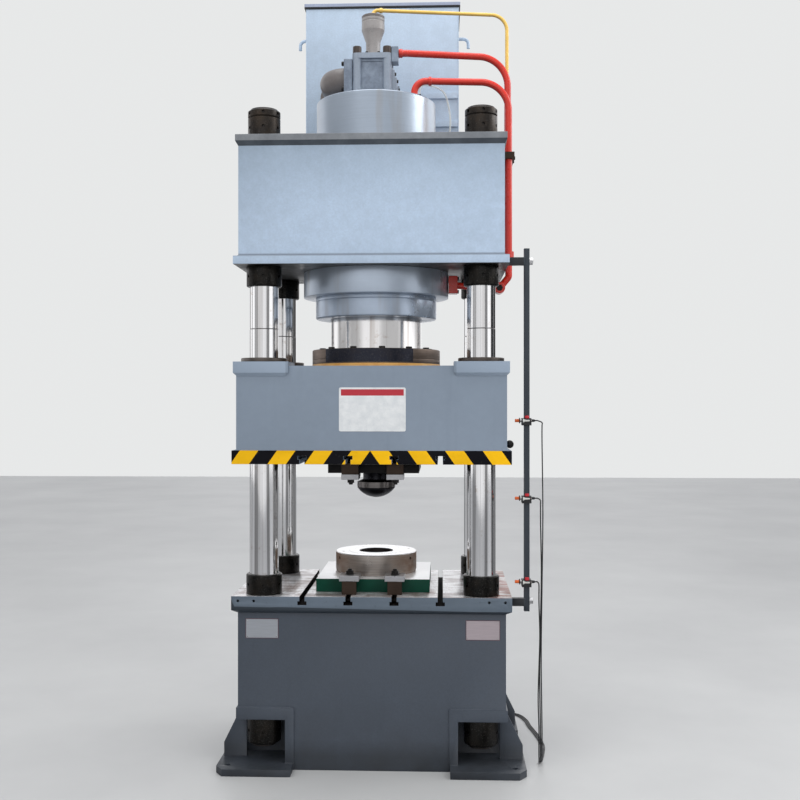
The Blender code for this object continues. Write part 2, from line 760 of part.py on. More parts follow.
def make_nuts(kind, radius, height, bore, low, chamfer_top, holes=True, extra=None):
    """Four round nuts, chamfered at one end. The extra rings, if any, stand in for the top."""
    look = metal(kind, BLACK_OXIDE, 0.42)
    high = low + height
    lead = NUT_CHAMFER
    if extra:
        profile = [(bore, low), (radius, low)] + extra
    elif chamfer_top:
        profile = [(bore, low), (radius, low), (radius, high - lead), (radius - lead, high), (bore, high)]
    else:
        profile = [(bore, low), (radius - lead, low), (radius, low + lead), (radius, high), (bore, high)]
    for tag, sx, sy in SIGNS:
        nut = turned(kind + "_" + tag, profile, ROUND_SIDES)
        if holes:
            tool = bar_holes(kind + "_holes_" + tag, radius, low + height / 2)
            place(tool, (sx * COLUMN_X, sy * COLUMN_Y, 0))
        place(nut, (sx * COLUMN_X, sy * COLUMN_Y, 0))
        if holes:
            cut(nut, tool)
        finish(nut, look)


def make_all_nuts():
    tail_bore = COLUMN_TAIL_R + GAP
    lower_bore = COLUMN_R + GAP
    upper_bore = COLUMN_UPPER_R + GAP
    make_nuts("base_nut", BASE_NUT_R, BASE_NUT_H, tail_bore, BASE_NUT_TOP_Z - BASE_NUT_H, False, holes=False)
    make_nuts("table_nut", TABLE_NUT_R, TABLE_NUT_H, lower_bore, TABLE_TOP_Z + GAP, True)
    make_nuts("beam_nut", BEAM_NUT_R, BEAM_NUT_H, upper_bore, BEAM_BOTTOM_Z - GAP - BEAM_NUT_H, False)
    low = BEAM_TOP_Z + GAP
    joint = low + CROWN_NUT_H
    ring = [
        (CROWN_NUT_R, joint - LOCK_GROOVE),
        (CROWN_NUT_R - LOCK_GROOVE, joint),
        (CROWN_NUT_R, joint + LOCK_GROOVE),
        (CROWN_NUT_R, CROWN_TOP_Z - NUT_CHAMFER),
        (CROWN_NUT_R - NUT_CHAMFER, CROWN_TOP_Z),
        (upper_bore, CROWN_TOP_Z),
    ]
    make_nuts("crown_nut", CROWN_NUT_R, CROWN_NUT_H, upper_bore, low, True, extra=ring)


def make_beam():
    web_low = BEAM_BOTTOM_Z + BEAM_BOTTOM_PLATE_T
    plate_low = BEAM_TOP_Z - BEAM_TOP_PLATE_T
    beam = stack(
        "top_beam",
        [
            (BEAM_BOTTOM_Z, BEAM_W / 2, BEAM_D / 2),
            (web_low, BEAM_W / 2, BEAM_D / 2),
            (web_low, BEAM_WEB_W / 2, BEAM_WEB_D / 2),
            (plate_low - BEAM_SLOPE_H, BEAM_WEB_W / 2, BEAM_WEB_D / 2),
            (plate_low, BEAM_TOP_W / 2, BEAM_D / 2),
            (BEAM_TOP_Z, BEAM_TOP_W / 2, BEAM_D / 2),
        ],
    )
    ribs = []
    for side in (-1, 1):
        x = TANK_X + side * TANK_W / 4
        outline = [
            (BEAM_WEB_D / 2 - TANK_RIB_T, BEAM_TOP_Z - GAP),
            (TANK_FRONT_Y + TANK_D - TANK_RIB_T, BEAM_TOP_Z - GAP),
            (TANK_FRONT_Y + TANK_D - TANK_RIB_T, BEAM_TOP_Z - 2 * TANK_RIB_T),
            (BEAM_WEB_D / 2 - TANK_RIB_T, BEAM_TOP_Z - TANK_RIB_H),
        ]
        ribs.append(prism("rib", outline, "X", x - TANK_RIB_T / 2, x + TANK_RIB_T / 2))
    fuse(beam, joined("beam_tank_ribs", ribs))
    past = 0.02
    low = BEAM_BOTTOM_Z - past
    high = BEAM_TOP_Z + past
    cut(beam, column_bores("beam_bores", COLUMN_UPPER_R + BORE_CLEARANCE, low, high))
    cut(beam, disc("beam_barrel_bore", BARREL_R + BORE_CLEARANCE, low, high, BIG_ROUND_SIDES))
    stub = disc("beam_hose_stub", HOSE_STUB_R, BEAM_TOP_Z - past, BEAM_TOP_Z + HOSE_END_STUB_H, 8)
    fuse(beam, place(stub, (HOSE_END[0], HOSE_END[1], 0)))
    return finish(beam, paint("beam", (0.42, 0.48, 0.54, 1.0)))


SHOULDER_LOW_Z = BEAM_BOTTOM_Z - GAP - SHOULDER_H
BARREL_TOP_Z = BEAM_TOP_Z + BARREL_ABOVE_BEAM
HEAD_UNDER_Z = BARREL_TOP_Z - HEAD_T
GLAND_LOW_Z = SHOULDER_LOW_Z - GAP - GLAND_H
LOWER_PORT_X = SHOULDER_R + GAP
RETURN_PIPE_Z = BARREL_TOP_Z + RETURN_PIPE_RISE
RETURN_TEE = (PIPE_DROP_X - RETURN_TEE_INSIDE, BEAM_BOTTOM_Z - RETURN_TEE_DROP)


def make_cylinder():
    shoulder_top = BEAM_BOTTOM_Z - GAP
    profile = [
        (0, HEAD_UNDER_Z),
        (BORE_R, HEAD_UNDER_Z),
        (BORE_R, SHOULDER_LOW_Z),
        (SHOULDER_R, SHOULDER_LOW_Z),
        (SHOULDER_R, shoulder_top),
        (BARREL_R, shoulder_top),
        (BARREL_R, BARREL_TOP_Z - BARREL_EDGE),
        (BARREL_R - BARREL_EDGE, BARREL_TOP_Z),
        (0, BARREL_TOP_Z),
    ]
    cylinder = turned("cylinder", profile, BIG_ROUND_SIDES)
    past = 0.02
    stub = disc("hose_stub", HOSE_STUB_R, BARREL_TOP_Z - past, BARREL_TOP_Z + HOSE_STUB_H, 8)
    fuse(cylinder, place(stub, (HOSE_TOP[0], HOSE_TOP[1], 0)))
    port = disc("head_port", HEAD_PORT_R, HEAD_UNDER_Z - past, BARREL_TOP_Z + past, 16)
    cut(cylinder, place(port, (VALVE_X, 0, 0)))
    pipe_port = disc("head_pipe_port", PORT_R, HEAD_UNDER_Z - past, BARREL_TOP_Z + past, 8)
    cut(cylinder, place(pipe_port, (RETURN_PORT[0], RETURN_PORT[1], 0)))
    side_port = disc("shoulder_port", PORT_R, BORE_R - past, SHOULDER_R + past, 8)
    cut(cylinder, along_x(side_port, (0, RETURN_PIPE_Y, LOWER_PORT_Z)))
    return finish(cylinder, paint("cylinder", (0.55, 0.57, 0.58, 1.0), 0.4))


def make_gland():
    inner = RAM_R + GLAND_FIT
    top = SHOULDER_LOW_Z - GAP
    profile = [
        (inner, GLAND_LOW_Z),
        (GLAND_R - GLAND_CHAMFER, GLAND_LOW_Z),
        (GLAND_R, GLAND_LOW_Z + GLAND_CHAMFER),
        (GLAND_R, top),
        (inner, top),
    ]
    return finish(turned("gland_ring", profile, BIG_ROUND_SIDES), metal("gland", roughness=0.28))


RAM_LOW_Z = SLIDE_TOP_Z + GAP
RAM_FOOT_TOP_Z = RAM_LOW_Z + RAM_FOOT_H
PISTON_TOP_Z = HEAD_UNDER_Z - PISTON_UNDER_HEAD
SPIGOT_TOP_Z = SLIDE_TOP_Z + SPIGOT_H
FLANGE_LOW_Z = SPIGOT_TOP_Z + GAP
FLANGE_TOP_Z = FLANGE_LOW_Z + FLANGE_H


def make_ram():
    piston_r = BORE_R - PISTON_FIT
    profile = [
        (0, RAM_LOW_Z),
        (RAM_FOOT_R, RAM_LOW_Z),
        (RAM_FOOT_R, RAM_FOOT_TOP_Z),
        (RAM_R, RAM_FOOT_TOP_Z),
        (RAM_R, PISTON_TOP_Z - PISTON_H),
        (piston_r, PISTON_TOP_Z - PISTON_H),
        (piston_r, PISTON_TOP_Z),
        (0, PISTON_TOP_Z),
    ]
    return finish(turned("ram", profile, BIG_ROUND_SIDES), metal("ram", (0.75, 0.75, 0.74, 1.0), 0.1))


def make_ram_flange():
    step = RAM_FOOT_TOP_Z + GAP
    inner = RAM_R + BORE_CLEARANCE
    foot = RAM_FOOT_R + BORE_CLEARANCE
    profile = [
        (foot, FLANGE_LOW_Z),
        (FLANGE_R, FLANGE_LOW_Z),
        (FLANGE_R, FLANGE_TOP_Z - FLANGE_CHAMFER),
        (FLANGE_R - FLANGE_CHAMFER, FLANGE_TOP_Z),
        (inner, FLANGE_TOP_Z),
        (inner, step),
        (foot, step),
    ]
    flange = turned("ram_flange", profile, BIG_ROUND_SIDES)
    bolts = []
    for i in range(FLANGE_BOLTS):
        angle = FLANGE_BOLT_PHASE - math.pi / 2 + 2 * math.pi * i / FLANGE_BOLTS
        head = disc("bolt", FLANGE_BOLT_R, FLANGE_TOP_Z - FLANGE_BOLT_H, FLANGE_TOP_Z + FLANGE_BOLT_H, 8)
        spot = (FLANGE_BOLT_PCR * math.cos(angle), FLANGE_BOLT_PCR * math.sin(angle), 0)
        bolts.append(place(head, spot))
    fuse(flange, joined("ram_flange_bolts", bolts))
    return finish(flange, metal("ram_flange", (0.05, 0.05, 0.06, 1.0), 0.35))


def make_slide():
    """The welded slide with its four guard pads and the raised ring that centres the ram's foot."""
    low = SLIDE_JOINT_Z + GAP
    slide = stack("slide", [(low, SLIDE_W / 2, SLIDE_D / 2), (SLIDE_TOP_Z, SLIDE_W / 2, SLIDE_D / 2)])
    pads = []
    for tag, sx, sy in SIGNS:
        levels = [
            (PAD_TOP_Z - PAD_H - PAD_SLOPE, PAD_HALF_X - PAD_SLOPE, PAD_HALF_Y - PAD_SLOPE),
            (PAD_TOP_Z - PAD_H, PAD_HALF_X, PAD_HALF_Y),
            (PAD_TOP_Z, PAD_HALF_X, PAD_HALF_Y),
        ]
        pads.append(stack("pad" + tag, levels, (sx * COLUMN_X, sy * COLUMN_Y)))
    fuse(slide, joined("slide_pads", pads))
    past = 0.02
    inner = RAM_FOOT_R + BORE_CLEARANCE
    ring_low = SLIDE_TOP_Z - past
    ring = [(inner, ring_low), (SPIGOT_R, ring_low), (SPIGOT_R, SPIGOT_TOP_Z), (inner, SPIGOT_TOP_Z)]
    fuse(slide, turned("slide_spigot_ring", ring, BIG_ROUND_SIDES))
    bore = COLUMN_R + SLIDING_FIT + BUSH_WALL + GAP
    cut(slide, column_bores("slide_bores", bore, low - past, PAD_TOP_Z + past))
    return finish(slide, paint("slide", (0.36, 0.42, 0.48, 1.0)))


def make_slide_plate():
    half = SLIDE_PLATE_W / 2
    sole = SLIDE_JOINT_Z - SLIDE_PLATE_T
    outline = [(-half, SLIDE_JOINT_Z), (-half, sole)]
    for centre in slot_centres():
        outline += slot_outline(centre, sole, 1)
    outline += [(half, sole), (half, SLIDE_JOINT_Z)]
    plate = prism("slide_plate", outline, "Y", -SLIDE_D / 2, SLIDE_D / 2)
    past = 0.02
    bore = COLUMN_R + SLIDING_FIT + BUSH_WALL / 2
    cut(plate, column_bores("slide_plate_bores", bore, sole - past, SLIDE_JOINT_Z + past))
    return finish(plate, paint("slide_plate", (0.85, 0.55, 0.05, 1.0), 0.4))


def make_bushes():
    inner = COLUMN_R + SLIDING_FIT
    outer = inner + BUSH_WALL
    seat = PAD_TOP_Z + GAP
    profile = [
        (inner, SLIDE_JOINT_Z + 2 * GAP),
        (outer, SLIDE_JOINT_Z + 2 * GAP),
        (outer, seat),
        (BUSH_FLANGE_R, seat),
        (BUSH_FLANGE_R, seat + BUSH_FLANGE_H),
        (inner, seat + BUSH_FLANGE_H),
    ]
    look = metal("bush", (0.30, 0.27, 0.24, 1.0), 0.4)
    for tag, sx, sy in SIGNS:
        bush = turned("guide_bush_" + tag, profile, ROUND_SIDES)
        finish(place(bush, (sx * COLUMN_X, sy * COLUMN_Y, 0)), look)


SLIDE_SOLE_Z = SLIDE_JOINT_Z - SLIDE_PLATE_T
ADAPTER_TOP_Z = SLIDE_SOLE_Z - GAP
ADAPTER_LOW_Z = ADAPTER_TOP_Z - ADAPTER_T
PUNCH_TOP_Z = ADAPTER_LOW_Z - GAP
PUNCH_BOTTOM_Z = PUNCH_TOP_Z - PUNCH_L
DIE_PLATE_LOW_Z = TABLE_TOP_Z + GAP
DIE_PLATE_TOP_Z = DIE_PLATE_LOW_Z + DIE_PLATE_T
DIE_LOW_Z = DIE_PLATE_TOP_Z + GAP
DIE_TOP_Z = DIE_LOW_Z + DIE_H


def square_plate(name, half, low, high):
    return stack(name, [(low, half, half), (high, half, half)])


def make_upper_tool():
    adapter = square_plate("adapter_plate", ADAPTER_HALF, ADAPTER_LOW_Z, ADAPTER_TOP_Z)
    finish(adapter, metal("adapter", BLACK_OXIDE, 0.5))
    sphere_r = (PUNCH_DOME_R**2 + PUNCH_DOME_H**2) / (2 * PUNCH_DOME_H)
    widest = math.asin(PUNCH_DOME_R / sphere_r)
    profile = [(0, PUNCH_BOTTOM_Z)]
    for i in range(1, DOME_STEPS + 1):
        angle = widest * i / DOME_STEPS
        profile.append((sphere_r * math.sin(angle), PUNCH_BOTTOM_Z + sphere_r * (1 - math.cos(angle))))
    band_top = PUNCH_BOTTOM_Z + PUNCH_DOME_H + PUNCH_BAND_H
    profile += [
        (PUNCH_DOME_R, band_top),
        (PUNCH_STEM_R, band_top + PUNCH_SHOULDER_H),
        (PUNCH_STEM_R, PUNCH_TOP_Z),
        (0, PUNCH_TOP_Z),
    ]
    finish(turned("punch", profile, 24), metal("punch", (0.04, 0.04, 0.045, 1.0), 0.3))


def make_lower_tool():
    plate = square_plate("die_plate", DIE_PLATE_HALF, DIE_PLATE_LOW_Z, DIE_PLATE_TOP_Z)
    past = 0.02
    cut(plate, disc("die_plate_hole", DIE_PLATE_HOLE_R, DIE_PLATE_LOW_Z - past, DIE_PLATE_TOP_Z + past, 32))
    finish(plate, paint("die_plate", (0.01, 0.20, 0.13, 1.0)))
    profile = [
        (DIE_BORE_R, DIE_LOW_Z),
        (DIE_R, DIE_LOW_Z),
        (DIE_R, DIE_TOP_Z - DIE_EDGE),
        (DIE_R - DIE_EDGE, DIE_TOP_Z),
        (DIE_BORE_R + DIE_LEAD_IN, DIE_TOP_Z),
        (DIE_BORE_R, DIE_TOP_Z - DIE_LEAD_IN),
    ]
    die = turned("ring_die", profile, 32)
    holes = []
    for side in (-1, 1):
        for end in (-1, 1):
            hole = along_x(disc("hole", DIE_HOLE_R, DIE_R - DIE_HOLE_DEPTH, DIE_R + past, 8), (0, 0, 0))
            angle = end * math.pi / 2 + side * DIE_HOLE_ANGLE
            holes.append(place(hole, (0, 0, DIE_TOP_Z - DIE_HOLE_DROP), Matrix.Rotation(angle, 4, "Z")))
    cut(die, joined("ring_die_holes", holes))
    finish(die, metal("ring_die", (0.33, 0.27, 0.22, 1.0), 0.5))


def make_clamp(name, x, tool_y, seat_z, tool_z, up, strap_w, heel_w, slot_z):
    """A strap clamp on a T-slot: heel block, strap, T-bolt and nut, bearing on a plate's front edge.

    seat_z is the machine face that the heel stands on, tool_z the face that the strap presses,
    slot_z the T-slot's inner shoulder; up is +1 for the table's clamps and -1 for the slide's.
    """
    toe_y = tool_y + STRAP_BEARING
    back_y = toe_y - STRAP_L
    heel_y = back_y + STRAP_OVERHANG
    bolt_y = heel_y + HEEL_T + CLAMP_BOLT_BEHIND_HEEL
    near = tool_z + up * GAP
    far = near + up * STRAP_T
    outline = [
        (back_y, near),
        (toe_y, near),
        (toe_y, near + up * STRAP_TOE_T),
        (toe_y - STRAP_TOE_L, far),
        (back_y, far),
    ]
    strap = prism(name, outline, "X", x - strap_w / 2, x + strap_w / 2)
    heel_zs = sorted((seat_z + up * GAP, near + up * STRAP_TOE_T / 2))
    heel_low = (x - heel_w / 2, heel_y, heel_zs[0])
    heel_high = (x + heel_w / 2, heel_y + HEEL_T, heel_zs[1])
    fuse(strap, box(name + "_heel", heel_low, heel_high))
    nut_end = far + up * CLAMP_NUT_H
    bolt_zs = sorted((slot_z - up * (GAP + CLAMP_HEAD_H / 2), nut_end + up * CLAMP_BOLT_TAIL))
    bolt = place(disc(name + "_bolt", CLAMP_BOLT_R, bolt_zs[0], bolt_zs[1], 12), (x, bolt_y, 0))
    fuse(strap, bolt)
    nut_zs = sorted((far - up * STRAP_TOE_T / 2, nut_end))
    nut = place(disc(name + "_nut", CLAMP_NUT_R, nut_zs[0], nut_zs[1], 6), (x, bolt_y, 0))
    fuse(strap, nut)
    head_zs = sorted((slot_z - up * GAP, slot_z - up * (GAP + CLAMP_HEAD_H)))
    half = CLAMP_HEAD_W / 2
    head = box(name + "_head", (x - half, bolt_y - half, head_zs[0]), (x + half, bolt_y + half, head_zs[1]))
    fuse(strap, head)
    return finish(strap, metal(name, (0.45, 0.46, 0.48, 1.0), 0.4))


def make_clamps():
    for tag, x in (("left", -SLOT_PITCH / 2), ("right", SLOT_PITCH / 2)):
        make_clamp(
            "upper_clamp_" + tag,
            x,
            -ADAPTER_HALF,
            SLIDE_SOLE_Z,
            ADAPTER_LOW_Z,
            -1,
            UPPER_STRAP_W,
            UPPER_HEEL_W,
            SLIDE_SOLE_Z + SLOT_NECK_H,
        )
        make_clamp(
            "lower_clamp_" + tag,
            x,
            -DIE_PLATE_HALF,
            TABLE_TOP_Z,
            DIE_PLATE_TOP_Z,
            1,
            LOWER_STRAP_W,
            LOWER_HEEL_W,
            TABLE_TOP_Z - SLOT_NECK_H,
        )


VALVE_LOW_Z = BARREL_TOP_Z + GAP
VALVE_TOP_Z = VALVE_LOW_Z + VALVE_H
SUCTION_Z = VALVE_LOW_Z + SUCTION_Z_UP
PILOT_LOW_Z = VALVE_TOP_Z + GAP
PRESSURE_PIPE_Z = VALVE_TOP_Z + PRESSURE_PIPE_RISE


def rounded_square(half, radius, steps):
    points = []
    for quarter, (sx, sy) in enumerate(((1, 1), (-1, 1), (-1, -1), (1, -1))):
        for i in range(steps + 1):
            angle = math.pi / 2 * (quarter + i / steps)
            points.append(
                (
                    sx * (half - radius) + radius * math.cos(angle),
                    sy * (half - radius) + radius * math.sin(angle),
                )
            )
    return points


def make_valve():
    half = VALVE_W / 2
    valve = prism("valve_body", rounded_square(half, VALVE_CORNER_R, 3), "Z", VALVE_LOW_Z, VALVE_TOP_Z)
    place(valve, (VALVE_X, 0, 0))
    panel_high = VALVE_TOP_Z - VALVE_PANEL_DROP
    past = 0.02
    panel = box(
        "valve_panel",
        (VALVE_X - VALVE_PANEL_W / 2, -half - past, panel_high - VALVE_PANEL_H),
        (VALVE_X + VALVE_PANEL_W / 2, -half + VALVE_PANEL_DEPTH, panel_high),
    )
    cut(valve, panel)
    screws = []
    for tag, sx, sy in SIGNS:
        head = disc("screw" + tag, VALVE_SCREW_R, VALVE_TOP_Z - past, VALVE_TOP_Z + VALVE_SCREW_H, 12)
        screws.append(place(head, (VALVE_X + sx * VALVE_SCREW_OFFSET, sy * VALVE_SCREW_OFFSET, 0)))
    fuse(valve, joined("valve_screws", screws))
    cover_x = VALVE_X + half
    cover = box(
        "valve_side_cover",
        (cover_x - past, -half + VALVE_CORNER_R, VALVE_LOW_Z),
        (cover_x + SIDE_COVER_T, half - VALVE_CORNER_R, VALVE_LOW_Z + VALVE_H - SIDE_COVER_H),
    )
    fuse(valve, cover)
    port = box(
        "valve_pressure_port",
        (cover_x - past, PRESSURE_PORT_Y - 2 * PIPE_R, PRESSURE_PIPE_Z - 3 * PIPE_R),
        (cover_x + SIDE_COVER_T, PRESSURE_PORT_Y + 2 * PIPE_R, PRESSURE_PIPE_Z + 1.5 * PIPE_R),
    )
    fuse(valve, port)
    bore = disc("valve_bore", VALVE_BORE_R, VALVE_LOW_Z - past, VALVE_LOW_Z + VALVE_BORE_H, 16)
    cut(valve, place(bore, (VALVE_X, 0, 0)))
    guide = disc("valve_stem_guide", STEM_R + SLIDING_FIT, VALVE_LOW_Z, VALVE_TOP_Z + past, 16)
    cut(valve, place(guide, (VALVE_X, 0, 0)))
    suction = disc("valve_suction_port", SUCTION_PORT_R, -half - past, 0, 16)
    cut(valve, along_x(suction, (VALVE_X, 0, SUCTION_Z)))
    return finish(valve, paint("valve", (0.62, 0.64, 0.66, 1.0), 0.45))


def make_pilot_head():
    bore = STEM_R + SLIDING_FIT
    neck_top = PILOT_LOW_Z + PILOT_NECK_H
    cup_low = neck_top + PILOT_CONE_H
    cap_low = cup_low + PILOT_CUP_H
    top = cap_low + PILOT_CAP_H
    profile = [
        (bore, PILOT_LOW_Z),
        (PILOT_FOOT_R, PILOT_LOW_Z),
        (PILOT_FOOT_R, PILOT_LOW_Z + PILOT_FOOT_H),
        (PILOT_NECK_R, PILOT_LOW_Z + PILOT_FOOT_H),
        (PILOT_NECK_R, neck_top),
        (PILOT_CUP_R, cup_low),
        (PILOT_CUP_R - LOCK_GROOVE, cap_low),
        (PILOT_CAP_R, cap_low + LOCK_GROOVE),
        (PILOT_CAP_R, top),
        (PILOT_PORT_R, top),
        (PILOT_PORT_R, PILOT_LOW_Z + PILOT_BORE_H),
        (bore, PILOT_LOW_Z + PILOT_BORE_H),
    ]
    head = place(turned("pilot_head", profile, 16), (VALVE_X, 0, 0))
    finish(head, paint("pilot_head", (0.45, 0.45, 0.45, 1.0), 0.4))
    return top


def make_poppet():
    top = VALVE_LOW_Z - GAP
    low = top - POPPET_T
    profile = [
        (0, low),
        (POPPET_R - POPPET_EDGE, low),
        (POPPET_R, low + POPPET_EDGE),
        (POPPET_R, top),
        (STEM_R, top),
        (STEM_R, top + STEM_L),
        (0, top + STEM_L),
    ]
    poppet = place(turned("valve_poppet", profile, 16), (VALVE_X, 0, 0))
    return finish(poppet, metal("poppet", roughness=0.25))


def make_suction_elbow():
    flange_x = VALVE_X - VALVE_W / 2 - GAP
    tube_x = flange_x - ELBOW_FLANGE_T
    run_x = tube_x - ELBOW_BEND
    tank_y = TANK_FRONT_Y - GAP
    start_x = flange_x - ELBOW_FLANGE_T / 2
    corners = [(start_x, 0, SUCTION_Z), (run_x, 0, SUCTION_Z), (run_x, tank_y, SUCTION_Z)]
    elbow = swept("suction_elbow", rounded_route(corners, [ELBOW_BEND], BEND_STEPS), ELBOW_R, 14)
    half = ELBOW_FLANGE_W / 2
    plate_low = max(SUCTION_Z - half, VALVE_LOW_Z)
    plate = box("elbow_plate", (tube_x, -half, plate_low), (flange_x, half, SUCTION_Z + half))
    fuse(elbow, plate)
    ring = disc("elbow_tank_ring", ELBOW_TANK_FLANGE_R, -tank_y, -tank_y + ELBOW_TANK_FLANGE_T, 16)
    fuse(elbow, along_y(ring, (run_x, 0, SUCTION_Z)))
    past = 0.02
    inner = [(flange_x + past, 0, SUCTION_Z), (run_x, 0, SUCTION_Z), (run_x, tank_y + past, SUCTION_Z)]
    inner_route = rounded_route(inner, [ELBOW_BEND], BEND_STEPS)
    cut(elbow, swept("elbow_bore", inner_route, ELBOW_R - ELBOW_WALL, 14))
    return finish(elbow, paint("elbow", (0.16, 0.16, 0.17, 1.0), 0.45))


def make_tank():
    low = BEAM_TOP_Z + GAP
    left = TANK_X - TANK_W / 2
    right = TANK_X + TANK_W / 2
    back = TANK_FRONT_Y + TANK_D
    tank = box("oil_tank", (left, TANK_FRONT_Y, low), (right, back, TANK_TOP_Z))
    bars = []
    for z in (BEAM_TOP_Z + rise for rise in TANK_BAR_RISES):
        bars.append(
            box(
                "bar",
                (TANK_BAR_X, TANK_FRONT_Y - TANK_BAR_T, z - TANK_BAR_H / 2),
                (right - TANK_BAR_T / 2, TANK_FRONT_Y + TANK_BAR_T, z + TANK_BAR_H / 2),
            )
        )
    fuse(tank, joined("tank_bars", bars))
    lug_y = TANK_FRONT_Y + TANK_D / 2
    lug_z = TANK_TOP_Z - LUG_BELOW_TOP
    lugs = []
    for side, edge in ((-1, left), (1, right)):
        corners = [
            (edge - side * LUG_OUT / 2, lug_y, lug_z),
            (edge + side * LUG_OUT, lug_y, lug_z),
            (edge + side * LUG_OUT, lug_y, lug_z - LUG_DROP),
        ]
        lugs.append(swept("lug", rounded_route(corners, [LUG_OUT / 2], 4), LUG_R, 8))
    fuse(tank, joined("tank_lugs", lugs))
    finish(tank, paint("tank", (0.55, 0.64, 0.74, 1.0), 0.5))
    lid = box(
        "tank_lid",
        (left - TANK_LID_LAP, TANK_FRONT_Y - TANK_LID_LAP, TANK_TOP_Z + GAP),
        (right + TANK_LID_LAP, back + TANK_LID_LAP, TANK_TOP_Z + GAP + TANK_LID_T),
    )
    finish(lid, paint("tank_lid", (0.60, 0.68, 0.76, 1.0), 0.5))


def collar(name, centre, axis_turn, radius=COLLAR_R, length=COLLAR_L):
    return axis_turn(disc(name, radius, -length / 2, length / 2, PIPE_SIDES), centre)


def upright(obj, offset):
    return place(obj, offset)


def make_pressure_pipe():
    start_x = VALVE_X + VALVE_W / 2 + SIDE_COVER_T + GAP
    corners = [
        (start_x, PRESSURE_PORT_Y, PRESSURE_PIPE_Z),
        (start_x + PRESSURE_STUB, PRESSURE_PORT_Y, PRESSURE_PIPE_Z),
        (PIPE_DROP_X, PRESSURE_PIPE_Y, PRESSURE_PIPE_Z),
        (PIPE_DROP_X, PRESSURE_PIPE_Y, PIPE_LOW_Z),
    ]
    route = rounded_route(corners, [PRESSURE_STUB, PRESSURE_BEND], BEND_STEPS)
    pipe = swept("pressure_pipe", route, PIPE_R, PIPE_SIDES)
    end = (PIPE_DROP_X, PRESSURE_PIPE_Y, PIPE_LOW_Z + COLLAR_L)
    fuse(pipe, collar("pressure_union", end, upright, TEE_R, 2 * COLLAR_L))
    return finish(pipe, paint("pressure_pipe", (0.72, 0.04, 0.02, 1.0), 0.3))


def make_return_pipe():
    block_l, block_d, block_h = LOWER_PORT_BLOCK
    corners = [
        (RETURN_PORT[0], RETURN_PORT[1], BARREL_TOP_Z + GAP),
        (RETURN_PORT[0], RETURN_PORT[1], RETURN_PIPE_Z),
        (PIPE_DROP_X, RETURN_PIPE_Y, RETURN_PIPE_Z),
        (PIPE_DROP_X, RETURN_PIPE_Y, BEAM_BOTTOM_Z - RETURN_KINK_DROP),
        (RETURN_TEE[0], RETURN_PIPE_Y, RETURN_TEE[1]),
        (LOWER_PORT_X + block_l / 2, RETURN_PIPE_Y, LOWER_PORT_Z),
    ]
    radii = [RETURN_ELBOW, RETURN_BEND, 0.02, 0.014]
    pipe = swept("return_pipe", rounded_route(corners, radii, BEND_STEPS), PIPE_R, PIPE_SIDES)
    foot = (RETURN_PORT[0], RETURN_PORT[1], BARREL_TOP_Z + GAP + COLLAR_L / 2)
    fuse(pipe, collar("return_foot", foot, upright, TEE_R))
    run = (RETURN_PORT[0] + RETURN_ELBOW + COLLAR_L, RETURN_PORT[1] + COLLAR_L / 2, RETURN_PIPE_Z)
    fuse(pipe, collar("return_union", run, along_x))
    tee = (RETURN_TEE[0], RETURN_PIPE_Y, RETURN_TEE[1])
    fuse(pipe, collar("return_tee", tee, along_y, TEE_R, TEE_L))
    block = box(
        "lower_port_block",
        (LOWER_PORT_X, RETURN_PIPE_Y - block_d / 2, LOWER_PORT_Z - block_h / 2),
        (LOWER_PORT_X + block_l, RETURN_PIPE_Y + block_d / 2, LOWER_PORT_Z + block_h / 2),
    )
    fuse(pipe, block)
    return finish(pipe, paint("return_pipe", (0.72, 0.04, 0.02, 1.0), 0.3))


def make_pilot_pipe(cap_top):
    run_z = cap_top + PILOT_PIPE_RISE
    corners = [
        (VALVE_X, 0, cap_top + GAP),
        (VALVE_X, 0, run_z),
        (PIPE_DROP_X, PILOT_PIPE_Y, run_z),
        (PIPE_DROP_X, PILOT_PIPE_Y, PIPE_LOW_Z),
    ]
    route = rounded_route(corners, [PILOT_ELBOW, PILOT_PIPE_BEND], BEND_STEPS)
    pipe = swept("pilot_pipe", route, PILOT_PIPE_R, 8)
    end = (PIPE_DROP_X, PILOT_PIPE_Y, PIPE_LOW_Z + COLLAR_L / 2)
    fuse(pipe, collar("pilot_union", end, upright, 2 * PILOT_PIPE_R))
    return finish(pipe, paint("pilot_pipe", (0.80, 0.55, 0.08, 1.0), 0.35))


def make_pipe_clamp():
    """The bar closed round the three falling pipes, on the edge of the beam's top plate."""
    high = BEAM_TOP_Z - PIPE_CLAMP_DROP
    low = high - PIPE_CLAMP_H
    clamp = box(
        "pipe_clamp",
        (BEAM_TOP_W / 2 + GAP, RETURN_PIPE_Y - PIPE_R - PIPE_CLAMP_WALL, low),
        (PIPE_DROP_X + PIPE_R + PIPE_CLAMP_WALL, PILOT_PIPE_Y + PILOT_PIPE_R + PIPE_CLAMP_WALL, high),
    )
    past = 0.01
    runs = ((RETURN_PIPE_Y, PIPE_R), (PRESSURE_PIPE_Y, PIPE_R), (PILOT_PIPE_Y, PILOT_PIPE_R))
    holes = []
    for y, radius in runs:
        hole = disc("hole", radius + BORE_CLEARANCE, low - past, high + past, 16)
        holes.append(place(hole, (PIPE_DROP_X, y, 0)))
    cut(clamp, joined("pipe_clamp_holes", holes))
    return finish(clamp, metal("pipe_clamp", (0.35, 0.35, 0.36, 1.0), 0.5))


